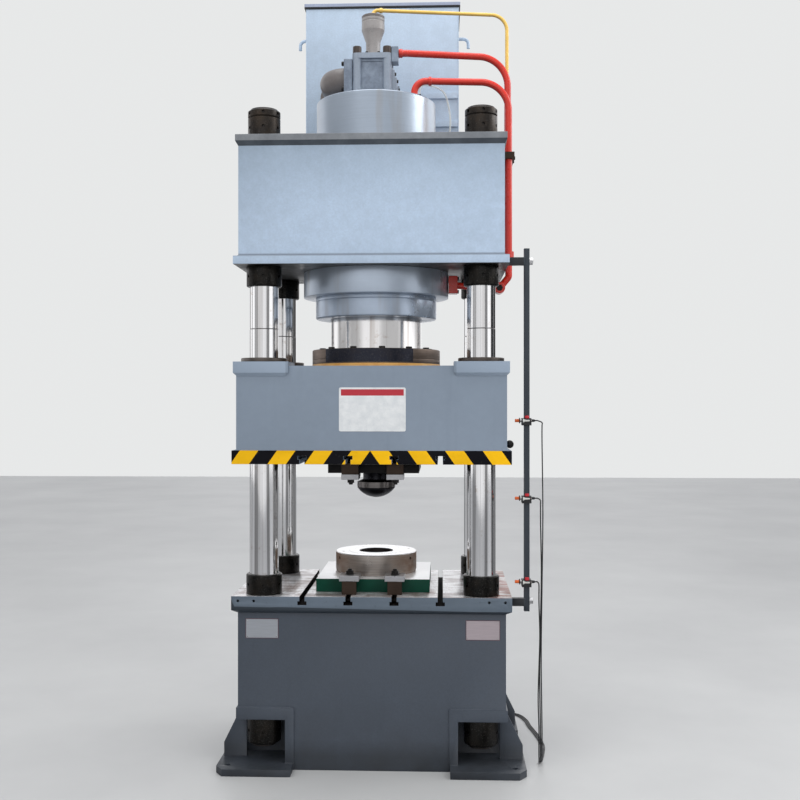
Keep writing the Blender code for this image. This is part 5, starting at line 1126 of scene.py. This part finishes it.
def valve():
    """Pedestal, waist and head as one casting, the waist recessed behind corner posts."""
    x0, z0, half, steps = VALVE_X, VALVE_LOW_Z, VALVE_HALF, 10
    z1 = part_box("valve_body")[1].z - 0.027

    def slab(reach, low, high, corner):
        outline = []
        for q, (sx, sy) in enumerate(((1, 1), (-1, 1), (-1, -1), (1, -1))):
            for i in range(steps + 1):
                a = math.pi / 2 * (q + i / steps)
                x = x0 + sx * (reach - corner) + corner * math.cos(a)
                outline.append((x, sy * (reach - corner) + corner * math.sin(a)))
        return prism("slab", outline, "Z", low, high)

    body = slab(half, z0, z0 + 0.044, 0.022)
    for piece in (slab(half - 0.010, z0 + 0.02, z1, 0.010), slab(half, z1 - 0.020, z1, 0.018)):
        carved(body, piece, "UNION")
    for tag, sx, sy in TAGS:
        post = lathe("post", bar(0.0185, z0 + 0.01, z1 - 0.002), 32, (x0 + sx * 0.0565, sy * 0.0565, 0))
        carved(body, post, "UNION")
    low, high = (x0 - 0.040, -half - 0.01, z0 + 0.050), (x0 + 0.040, -half + PANEL_DEEP, z1 - 0.030)
    carved(body, box("panel", low, high))
    carved(body, lathe("bore", bar(0.045, z0 - 0.01, z0 + 0.148), 48, (x0, 0, 0)))
    carved(body, lathe("bore", bar(STEM_BORE, z0 + 0.1, z1 + 0.01), 24, (x0, 0, 0)))
    dress(body, "frame", "valve", nodes=["valve_body"], bevel=0.0016)
    for tag, sx, sy in TAGS:
        spot = (x0 + sx * 0.057, sy * 0.057, z1 - 0.0005)
        socket_head(f"valve_screw_{tag}", spot, "Z", 0.0165, 0.027, "frame", "worn_screw")
    # stacked side covers on the right with their screws
    edge = x0 + half
    for i, (a, b, h) in enumerate(((0.0, 0.010, 0.122), (0.010, 0.018, 0.094), (0.018, 0.0238, 0.062))):
        wide = 0.055 - 0.004 * i
        cover = box(f"side_cover_{i}", (edge + a - 0.001, -wide, z0 + 0.0005), (edge + b, wide, z0 + h))
        dress(cover, "frame", "valve", bevel=0.0012)
        for side, y in (("a", -0.040), ("b", 0.040)):
            spot = (edge + b - 0.0004, y, z0 + h - 0.013)
            socket_head(f"cover_screw_{i}_{side}", spot, "X", 0.0062, 0.006)
    y, z, wide = PRESSURE_Y, PRESSURE_Z, 0.026
    low, high = (edge - 0.001, y - wide, z - 0.039), (edge + PORT_DEEP, y + wide, z + 0.0195)
    dress(box("pressure_port", low, high), "frame", "valve", bevel=0.0012)


def pilot_head():
    lo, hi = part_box("pilot_head")
    z = lo.z
    neck, cone = z + 0.060, z + 0.103
    cap = cone + 0.047
    centre, bore, rim = (VALVE_X, 0, 0), STEM_BORE, 0.0425
    profile = [
        (bore, z), (0.036, z), (0.036, z + 0.010), (0.034, z + 0.012), (0.029, z + 0.014),
        (0.0275, z + 0.020), (0.028, neck), (rim, cone - 0.002), (0.044, cone + 0.001), (0.044, cap - 0.016),
        (rim, cap - 0.0145), (rim, cap - 0.0115), (0.044, cap - 0.010), (0.044, cap), (bore, cap),
    ]
    head = lathe("pilot_head_turned", eased(profile, 0.0012), 96, centre)
    dress(head, "frame", "pilot", nodes=["pilot_head"])
    lid = [
        (0.005, cap + 0.0002), (rim, cap + 0.0002), (0.0438, cap + 0.0015), (0.0438, hi.z - 0.002),
        (0.0415, hi.z), (0.005, hi.z),
    ]
    dress(lathe("pilot_cap", lid, 96, centre), "frame", "elbow", "valve_casting")
    for i, (dx, dy) in enumerate(circle(4, 0.0325, 45)):
        socket_head(f"pilot_screw_{i}", (VALVE_X + dx, dy, z + 0.0115), "Z", 0.0052, 0.008)
    low, high = (corner.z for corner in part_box("valve_poppet"))
    top, rim = low + 0.012, 0.053
    poppet = [(0, low), (0.050, low), (rim, low + 0.003), (rim, top), (0.010, top), (0.010, high), (0, high)]
    obj = lathe("poppet_turned", eased(poppet, 0.0008), 64, centre)
    dress(obj, "poppet", "steel", nodes=["valve_poppet"])


def elbow():
    x_flange = VALVE_X - VALVE_HALF - GAP
    z = VALVE_LOW_Z + 0.098
    tube_x = x_flange - 0.032
    run_x = tube_x - 0.056
    tank_y = 0.240 - GAP
    corners = [(tube_x + 0.004, 0, z), (run_x, 0, z), (run_x, tank_y - 0.001, z)]
    obj = swept("suction_elbow_bend", rounded_route(corners, [0.0558], 24), 0.047, 48)
    dress(obj, "frame", "elbow", nodes=["suction_elbow"], angle=40)
    low = max(z - 0.065, VALVE_LOW_Z + GAP)
    plate = box("elbow_flange", (tube_x, -0.065, low), (x_flange, 0.065, z + 0.065))
    dress(plate, "frame", "valve", bevel=0.003)
    ring = [(0.044, 0), (0.066, 0), (0.066, 0.0115), (0.0645, 0.0125), (0.044, 0.0125)]
    dress(lathe("elbow_tank_flange", ring, 64, (run_x, tank_y, z), "-Y"), "frame", "elbow")
    weld = [(tube_x - 0.001, a, z + b) for a, b in circle(90, 0.0472)]
    bead_ring = swept("elbow_weld", weld + weld[:1], 0.003, 8, 0.15)
    dress(bead_ring, "frame", "elbow", angle=80)
    for i, (y, dz) in enumerate(((-0.050, 0.050), (0.050, 0.050), (-0.050, -0.046), (0.050, -0.046))):
        socket_head(f"elbow_screw_{i}", (tube_x + 0.0005, y, z + dz), "-X", 0.0085, 0.010)
    for i, (dx, dz) in enumerate(circle(6, 0.0565, 30)):
        hex_head(f"elbow_bolt_{i}", (run_x + dx, tank_y - 0.0122, z + dz), "-Y", 0.0055, 0.006)


def tank_details():
    """The lid with its bolts sunk level with its top, and the folded sheet's seams on the tank."""
    lo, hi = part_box("tank_lid")
    count, inset, side, sink = 6, 0.030, 0.016, 0.0052
    spots = [(lo.x + inset + (hi.x - lo.x - 2 * inset) * i / (count - 1), y, f"{tag}{i}")
             for i in range(count) for y, tag in ((lo.y + side, "f"), (hi.y - side, "r"))]
    lid = box("tank_lid_plate", tuple(lo), tuple(hi))
    low, high = hi.z - sink, hi.z + 0.01
    wells = [lathe("well", bar(0.0085, low, high), 24, (x, y, 0)) for x, y, tag in spots]
    carved(lid, joined("wells", wells))
    dress(lid, "frame", "lid", nodes=["tank_lid"], bevel=0.0015)
    for x, y, tag in spots:
        hex_head(f"lid_bolt_{tag}", (x, y, low - 0.0002), "Z", 0.005, 0.0048)
    for i, x in enumerate((-0.300, 0.318)):
        ends = [(x, 0.2405, z) for z in (BEAM_ROOF_Z + 0.0015, 2.9160)]
        bead(f"tank_seam_{i}", *ends, "frame", "tank", 0.0022, 0.006)


# Pipes

def sleeve(name, centre, axis, radius, length, look="red", facets=False):
    half = length / 2
    kind = ("hex",) if facets else ()
    end, face = radius * 0.92, half - 0.0012
    profile = [
        (0, -half), (end, -half) + kind, (radius, -face) + kind, (radius, face) + kind, (end, half) + kind,
        (0, half),
    ]
    return dress(lathe(name, profile, 36, centre, axis), "frame", look)


def pipes():
    drop, low, gap = 0.5045, 1.872, GAP
    y, z = PRESSURE_Y, PRESSURE_Z
    start = VALVE_X + VALVE_HALF + PORT_DEEP + gap
    corners = [(start, y, z), (start + 0.030, y, z), (drop, 0.030, z), (drop, 0.030, low)]
    route = rounded_route(corners, [0.030, 0.110], 18)
    pipe = swept("pressure_pipe_bent", route, PIPE_R, 32)
    dress(pipe, "frame", "red", nodes=["pressure_pipe"], angle=50)
    sleeve("pressure_collar", (start + 0.008, y, z), "X", 0.0165, 0.014)
    sleeve("pressure_union", (drop, 0.030, low + 0.012), "Z", 0.0205, 0.0236, facets=True)

    x, y, foot, level = RETURN_X, RETURN_Y, BARREL_TOP_Z + gap, 2.527
    side, tee, port = -0.030, (0.469, -0.030, 1.747), 0.2768
    corners = [
        (x, y, foot), (x, y, level), (drop, side, level), (drop, side, 1.790), tee,
        (port + 0.017, side, 1.760),
    ]
    route = rounded_route(corners, [0.045, 0.105, 0.02, 0.014], 18)
    pipe = swept("return_pipe_bent", route, PIPE_R, 32)
    dress(pipe, "frame", "red", nodes=["return_pipe"], angle=50)
    sleeve("return_foot", (x, y, foot + 0.006), "Z", 0.019, 0.0118, facets=True)
    sleeve("return_collar", (0.207, -0.0592, level), "X", 0.0168, 0.012)
    sleeve("return_tee", tee, "-Y", 0.021, 0.0598)
    spot = (tee[0], side - 0.0299, tee[2])
    sleeve("return_tee_plug", spot, "-Y", 0.011, 0.006, "screw", True)
    block = box("lower_port_block", (port, -0.056, 1.727), (port + 0.034, -0.004, 1.793))
    dress(block, "frame", "red", bevel=0.002)
    for i, (y, z) in enumerate(((-0.048, 1.785), (-0.012, 1.785), (-0.048, 1.735), (-0.012, 1.735))):
        socket_head(f"port_screw_{i}", (port + 0.0336, y, z), "X", 0.0052, 0.0055)

    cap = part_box("pilot_head")[1].z + gap
    x, y, level = VALVE_X, 0.075, 2.820
    corners = [(x, 0, cap), (x, 0, level), (drop, y, level), (drop, y, low)]
    route = rounded_route(corners, [0.018, 0.060], 16)
    pipe = swept("pilot_pipe_bent", route, 0.007, 24)
    dress(pipe, "frame", "yellow", nodes=["pilot_pipe"], angle=50)
    sleeve("pilot_elbow_nut", (x, 0, cap + 0.0062), "Z", 0.0112, 0.012, "yellow", True)
    sleeve("pilot_collar", (0.018, 0.0044, level), "X", 0.0098, 0.012, "yellow")
    sleeve("pilot_union", (drop, y, low + 0.006), "Z", 0.0125, 0.0118, "yellow", True)
    lo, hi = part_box("pipe_clamp")
    for i, y in enumerate((0.0, 0.0545)):
        hex_head(f"clamp_bolt_{i}", (hi.x - 0.0004, y, (lo.z + hi.z) / 2), "X", 0.0065, 0.006)


def cord(route):
    tuple(route[0])
    [tuple(p) for p in route]


def drain_hose():
    """The clear hose between the cylinder head's stub and the beam's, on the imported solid's line."""
    top = Vector((0.165, 0.060, BARREL_TOP_Z + 0.060 + GAP))
    end = Vector((0.270, 0.030, BEAM_ROOF_Z + 0.020 + GAP))
    middle = (top.z + end.z) / 2
    knots = [
        top, top + Vector((0.004, 0, 0.024)), top + Vector((0.028, -0.002, 0.036)),
        Vector((end.x - 0.012, end.y + 0.018, top.z + 0.004)),
        Vector((end.x + 0.012, end.y + 0.010, middle + 0.030)),
        Vector((end.x + 0.012, end.y + 0.004, middle - 0.040)),
        end + Vector((0.002, 0, 0.035)), end,
    ]
    route = smooth(knots, 12)
    hose = swept("drain_hose_clear", route, HOSE_R, 16)
    dress(hose, "frame", "clear", nodes=["drain_hose"], angle=60)
    cord(route)
    for name, spot, z in (("top", top, BARREL_TOP_Z), ("end", end, BEAM_ROOF_Z)):
        h = spot.z - z - 2 * GAP
        stub = [(0, 0), (0.0088, 0), (0.0088, h * 0.45), (0.0062, h * 0.5), (0.0062, h), (0, h)]
        obj = lathe(f"hose_stub_{name}", stub, 24, (spot.x, spot.y, z + GAP))
        dress(obj, "frame", "screw")


# Rod, switches, striker

def switches():
    """Clamp block, red clamping knob, and the sensor with its tip, lock nut, cone and plug."""
    hole, face = ROD_W / 2 + GAP, ROD_Y - 0.0200
    parts = (
        ("sensor_tip", "sensor_orange",
         [(0, 0), (0.0052, 0), (0.0058, 0.0008), (0.0058, 0.015), (0, 0.015)]),
        ("sensor_nut", "screw", [(0, 0), (0.0086, 0, "hex"), (0.0086, 0.0036, "hex"), (0, 0.0036)]),
        ("sensor_root", "steel", bar(0.0060, 0, 0.0060)),
        ("holder_lever", "sensor_white",
         [(0, 0), (0.0074, 0), (0.0078, 0.0006), (0.0040, 0.0080), (0.0034, 0.0260), (0, 0.0262)]),
        ("lever_ball", "band",
         [(0, -0.0046), (0.003, -0.0038), (0.0046, -0.0012), (0.0046, 0.0012), (0.003, 0.0038),
          (0, 0.0046)]),
        ("sensor_plug", "sensor_black", [(0, 0), (0.005, 0), (0.005, 0.009), (0.0036, 0.014), (0, 0.014)]),
    )
    knob = [(0, 0), (0.0076, 0), (0.0080, 0.0008), (0.0080, 0.0070), (0.0068, 0.0095), (0, 0.0100)]
    for name in SWITCHES:
        lo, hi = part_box(name)
        z = (lo.z + hi.z) / 2
        tag = name.split("_")[1]
        low, high = z - 0.017, z + 0.009
        near, far = (ROD_X - 0.018, ROD_Y - 0.020, low), (ROD_X + 0.016, ROD_Y + 0.022, high)
        body = box(f"holder_{tag}", near, far)
        near, far = (ROD_X - hole, ROD_Y - hole, low - 0.01), (ROD_X + hole, ROD_Y + hole, high + 0.01)
        carved(body, box("slot", near, far))
        dress(body, name, "sensor_black", nodes=[name], bevel=0.0012)
        cap = lathe(f"holder_knob_{tag}", knob, 28, (ROD_X, ROD_Y - 0.0155, high - 0.0004), "Z")
        dress(cap, name, "sensor_red", angle=40)
        # where each turned piece starts along X, and how far forward it sits
        places = (
            (lo.x, ROD_Y), (lo.x + 0.0150, ROD_Y), (lo.x + 0.0186, ROD_Y), (ROD_X - 0.0150, face + 0.002),
            (ROD_X + 0.0135, face + 0.001), (hi.x - 0.0140, ROD_Y),
        )
        for (part, look, profile), (x, y) in zip(parts, places):
            dress(lathe(f"{part}_{tag}", profile, 28, (x, y, z), "X"), name, look, "switch_plastic")


def smooth(knots, steps):
    """Points on the smooth curve through the knots, with that many steps from one to the next."""
    route = []
    for i in range(len(knots) - 1):
        before, after = knots[max(i - 1, 0)], knots[min(i + 2, len(knots) - 1)]
        start, stop = knots[i], knots[i + 1]
        leave, arrive = (stop - before) / 2, (after - start) / 2
        for k in range(steps):
            t = k / steps
            spot = start * (2 * t**3 - 3 * t**2 + 1) + leave * (t**3 - 2 * t**2 + t)
            route.append(spot + stop * (3 * t**2 - 2 * t**3) + arrive * (t**3 - t**2))
    route.append(knots[-1])
    return route


def trimmed(route, length):
    """The route cut off at its real length."""
    kept = [route[0]]
    left = length
    for before, after in zip(route, route[1:]):
        step = (after - before).length
        if step >= left:
            kept.append(before.lerp(after, left / step))
            return kept
        kept.append(after)
        left -= step
    return kept


def cable_route(lane, z, start):
    """Out of the plug, straight down, back along the floor and behind the base, in its own lane."""
    side = lane * LANE
    x, y = start + 0.014 + side, ROD_Y + side
    floor = CABLE_R + GAP
    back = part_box("base_frame")[1].y + side
    hang, bend = z - 0.080, 0.140
    knots = [
        (start, ROD_Y, z), (start + 0.004, ROD_Y, z), (start + 0.008, ROD_Y, z),
        (x - 0.001, ROD_Y + side / 2, z - 0.007), (x, y, z - 0.022), (x, y, hang),
    ]
    knots += [(x + 0.003 * math.sin(math.pi * i / 2), y, hang - (hang - bend) * i / 4) for i in range(1, 4)]
    knots += [(x, y, bend), (x, y + 0.004, 0.070), (x + 0.002, y + 0.022, 0.024)]
    knots += [(x + dx, along, floor) for dx, along in (
        (0.006, y + 0.062), (0.018, y + 0.130), (0.030, side), (0.020, 0.120 + side), (0.0, 0.240 + side),
        (-0.012, back - 0.030), (-0.045, back + 0.040), (-0.120, back + 0.064),
    )]
    knots += [(along, back + dy, floor) for along, dy in (
        (0.360, 0.060), (0.200, 0.070), (0.040, 0.062), (-0.120, 0.068), (-0.280, 0.062),
    )]
    return trimmed(smooth([Vector(knot) for knot in knots], 8), CABLE_L)


def cables():
    for lane, name in enumerate(SWITCHES):
        lo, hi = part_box(name)
        tag = name.split("_")[1]
        route = cable_route(lane, (lo.z + hi.z) / 2, hi.x + GAP)
        cable = swept(f"cable_{tag}_sheath", route, CABLE_R, 12)
        dress(cable, None, "cable", nodes=["cable_" + tag], angle=60)
        x, y, z = route[0]
        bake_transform(cable)
        cord(route)


def striker():
    pad, long = 0.482, 0.028
    ball_r, neck = 0.0145, 0.007
    centre = pad + long - ball_r
    start = math.pi - math.asin(neck / ball_r)
    profile = [(0, pad + GAP), (neck, pad + GAP)]
    for i in range(20):
        a = start * (1 - i / 20)
        profile.append((ball_r * math.sin(a), centre + ball_r * math.cos(a)))
    profile.append((0, centre + ball_r))
    ball = lathe("striker_ball", profile, 48, (0, ROD_Y, 1.165), "X")
    dress(ball, "slide", "screw", nodes=["striker"], angle=50)


def brackets():
    """A bright bolt head on the rod's outer side at each of its two brackets."""
    beam_low, table_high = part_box("top_beam")[0].z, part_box("table_plate")[1].z
    for name, z in (("top", beam_low + 0.015), ("bottom", table_high - 0.021)):
        spot = (ROD_X + ROD_W / 2 - 0.0004, ROD_Y, z)
        hex_head(f"rod_bolt_{name}", spot, "X", 0.0110, 0.0130, "frame", "bolt", turn=0.3)


# Plates, signs, welds

def plates():
    y, edge, inset = PLATE_Y, 0.0024, 0.005
    rivet = [(0, 0), (0.0024, 0), (0.0020, 0.0008), (0.0010, 0.0012), (0, 0.0013)]
    for name, x0, x1, z0, z1, look in (
        ("left", -0.4495, -0.3352, 0.4725, 0.5390, "plate"),
        ("right", 0.3387, 0.4560, 0.4715, 0.5385, "plate_warm"),
    ):
        # a dark backing a little larger than each plate shows round its edge: partly its adhesive edge,
        # partly a painted shadow of the plate
        low, high = (x0 - edge, y - 0.0004, z0 - edge), (x1 + edge, y + 0.0002, z1 + edge)
        dress(box(f"name_plate_back_{name}", low, high), "frame", "plate_back", bevel=0.0001)
        plate = box(f"name_plate_{name}", (x0, y - 0.0009, z0), (x1, y + 0.0002, z1))
        dress(plate, "frame", look, bevel=0.0003)
        corners = [(x, z) for z in (z0 + inset, z1 - inset) for x in (x0 + inset, x1 - inset)]
        for i, (x, z) in enumerate(corners):
            head = lathe(f"rivet_{name}_{i}", rivet, 12, (x, y - 0.0008, z), "-Y")
            dress(head, "frame", "steel", "table_steel", angle=60)
    low = (SIGN_X - SIGN_W / 2, SLIDE_Y - 0.0012, SIGN_Z0)
    sign = box("blank_sign", low, (SIGN_X + SIGN_W / 2, SLIDE_Y + 0.0002, SIGN_Z1))
    cut = bmesh.new()
    cut.from_mesh(sign.data)
    corners = [edge for edge in cut.edges if abs(edge.verts[0].co.y - edge.verts[1].co.y) > 0.001]
    bmesh.ops.bevel(cut, geom=corners, offset=0.006, segments=6, affect="EDGES", profile=0.5)
    cut.to_mesh(sign.data)
    cut.free()
    dress(sign, "slide", "sign", bevel=0.0003)


def welds():
    """Beads along the crown's lower plate, the base's pockets and feet, and the slide's guard pads."""
    z = SHOULDER_TOP_Z + BEAM_PLATE + 0.0005
    for side, across, along in ((-1, "f", "l"), (1, "r", "r")):
        y, x = side * 0.3104, side * 0.4739
        bead(f"beam_low_bead_{across}", (-0.472, y, z), (0.472, y, z), "frame", "beam", 0.0034)
        bead(f"beam_low_side_{along}", (x, -0.309, z), (x, 0.309, z), "frame", "beam", 0.0034)
    foot = 0.0252
    runs = (
        ("lintel", (0.282, 0.2846, 0.2222), (0.480, 0.2846, 0.2222), 0.0034),
        ("jamb", (0.2778, 0.2846, 0.028), (0.2778, 0.2846, 0.221), 0.0034),
        ("rib", (0.545, 0.198, foot), (0.460, 0.198, foot), 0.003),
        ("foot", (0.310, 0.291, foot), (0.282, 0.291, foot), 0.003),
    )
    for tag, sx, sy in TAGS:
        for name, start, stop, radius in runs:
            ends = [(sx * x, sy * y, z) for x, y, z in (start, stop)]
            bead(f"{name}_bead_{tag}", *ends, "frame", "base", radius)
    for tag, sx, sy in TAGS:
        ends = [(sx * x, sy * (-SLIDE_Y + 0.0002), PAD_LOW_Z) for x in (PAD_X + 0.003, 0.478)]
        bead(f"pad_bead_{tag}", *ends, "slide", "slide", 0.0022)


# Camera, light, floor


LOW_BANDS = [
    (0.0, 0.58), (0.065, 0.58), (0.075, 0.06), (0.112, 0.10), (0.130, 0.90), (0.195, 1.0), (0.205, 0.30),
    (0.222, 0.34), (0.232, 1.0), (0.290, 0.95), (0.305, 0.30), (0.350, 0.42), (0.372, 0.24), (0.384, 0.66),
    (0.470, 0.74), (0.480, 0.52), (0.492, 0.80), (0.572, 0.72), (0.584, 0.12), (0.604, 0.30), (0.628, 0.10),
    (0.648, 1.0), (0.722, 1.0), (0.734, 0.03), (0.812, 0.05), (0.822, 0.45), (0.832, 0.04), (0.915, 0.04),
    (0.935, 0.58), (1.0, 0.58),
]
HIGH_BANDS = [
    (0.0, 0.62), (0.060, 0.75), (0.165, 1.05), (0.200, 0.34), (0.260, 0.34), (0.380, 0.46), (0.420, 0.86),
    (0.520, 0.84), (0.560, 0.50), (0.670, 0.46), (0.720, 1.35), (0.930, 1.35), (0.950, 0.50), (1.0, 0.62),
]


def horizon(tree, x, y, stops):
    """The hall's light and dark upright bands by direction, 0 and 1 at the back and 0.5 at the operator."""
    turn = calc(tree, "DIVIDE", calc(tree, "ARCTAN2", x, calc(tree, "MULTIPLY", y, -1.0)), 2 * math.pi)
    around = calc(tree, "ADD", turn, 0.5)
    ramp = tree.nodes.new("ShaderNodeValToRGB")
    tree.links.new(around, ramp.inputs[0])
    elements = ramp.color_ramp.elements
    elements.remove(elements[1])
    for i, (place, value) in enumerate(stops):
        stop = elements.new(place) if i else elements[0]
        stop.position = place
        stop.color = (value, value, value * 1.02, 1)
    return ramp.outputs[0], around


def camera():
    lens = bpy.data.cameras.new("camera")
    lens.lens = 47.29
    lens.sensor_width = 36
    obj = bpy.data.objects.new("camera", lens)
    obj.location = (0.2527, -4.0277, 1.324)
    obj.rotation_euler = (math.pi / 2, 0, 0.0401)
    scene = bpy.context.scene
    scene.collection.objects.link(obj)
    scene.camera = obj
    scene.render.resolution_x = 800
    scene.render.resolution_y = 800
    scene.view_settings.view_transform = "Standard"


def hall_floor():
    """A pale floor, which carries the hall's upright bands in reflections, as the columns show."""
    floor = mesh_object("floor", [(-14, -9, 0), (14, -9, 0), (14, 14, 0), (-14, 14, 0)], [(0, 1, 2, 3)])
    look = Look("pale_floor", (0.62, 0.62, 0.61, 1.0), 0.5)
    plain = look.fade((0.50, 0.50, 0.495, 1.0), (0.58, 0.58, 0.57, 1.0), look.noise(0.8, 5.0, 0.6))
    bands = horizon(look.tree, *look.xyz()[0:2], LOW_BANDS)[0]
    mirrored = look.make("ShaderNodeLightPath").outputs["Is Glossy Ray"]
    look.set("Base Color", look.mix(mirrored, plain, look.mix(0.45, bands, (0.0, 0.0, 0.0, 1.0))))
    look.bump(look.noise(40.0, 3.0, 0.6), 0.05, 0.001)
    floor.data.materials.append(look.mat)


def lamp(name, spot, aim, size, watts, color=(1, 1, 1), tall=None, mirrored=True):
    light = bpy.data.lights.new(name, "AREA")
    light.shape = "RECTANGLE"
    light.size = size
    light.size_y = tall or size
    light.energy = watts
    light.color = color
    item = bpy.data.objects.new(name, light)
    bpy.context.scene.collection.objects.link(item)
    item.visible_glossy = mirrored
    item.location = spot
    item.rotation_euler = (Vector(aim) - Vector(spot)).to_track_quat("-Z", "Y").to_euler()


def world_light():
    """The hall around the press: banded walls, a pale roof, and a plain pale wall for the camera."""
    world = bpy.data.worlds.new("studio")
    bpy.context.scene.world = world
    world.use_nodes = True
    tree = world.node_tree
    nodes, links = tree.nodes, tree.links
    split = nodes.new("ShaderNodeSeparateXYZ")
    links.new(nodes.new("ShaderNodeTexCoord").outputs["Generated"], split.inputs[0])
    x, y, z = split.outputs[0:3]

    def layer(low, high, below, above):
        """One tone below a height of direction, another above it, blended between the two."""
        part = calc(tree, "DIVIDE", calc(tree, "SUBTRACT", z, low), high - low)
        part = calc(tree, "MINIMUM", calc(tree, "MAXIMUM", part, 0.0), 1.0)
        return mixed(tree, part, below, above)

    lower, around = horizon(tree, x, y, LOW_BANDS)
    upper = horizon(tree, x, y, HIGH_BANDS)[0]
    sky = layer(0.36, 0.62, layer(0.12, 0.20, lower, upper), (0.56, 0.575, 0.60, 1))
    seen = nodes.new("ShaderNodeLightPath").outputs["Is Camera Ray"]
    background = nodes["Background"]
    links.new(mixed(tree, seen, sky, (0.80, 0.81, 0.81, 1)), background.inputs["Color"])
    # the wall behind the press is the brightest, which only grazing faces see
    off = calc(tree, "ABSOLUTE", calc(tree, "SUBTRACT", around, 0.5))
    strength = calc(tree, "MULTIPLY_ADD", calc(tree, "GREATER_THAN", off, 0.462), 0.9, 1.2)
    unseen = calc(tree, "MULTIPLY", calc(tree, "SUBTRACT", 1.0, seen), strength)
    links.new(calc(tree, "ADD", unseen, seen), background.inputs["Strength"])


def stage_and_camera():
    camera()
    hall_floor()
    lamp("key", (-2.4, -3.4, 4.6), (0, 0, 1.7), 2.2, 47, mirrored=False)
    lamp("fill", (3.2, -3.0, 3.4), (0, 0, 1.7), 2.0, 42, (0.95, 0.97, 1.0), mirrored=False)
    lamp("side", (3.4, 0.3, 3.6), (0, 0, 2.3), 1.7, 26, tall=1.8)
    lamp("top", (0.0, -0.4, 5.4), (0, 0, 2.0), 3.0, 60)
    world_light()


stage_and_camera()
drain_hose()
cables()
frame_blocks()
columns_and_nuts()
cylinder_and_ram()
flange_and_spigot()
bushes()
upper_tool()
clamps()
ring_die()
valve()
pilot_head()
elbow()
tank_details()
pipes()
switches()
striker()
brackets()
plates()
welds()
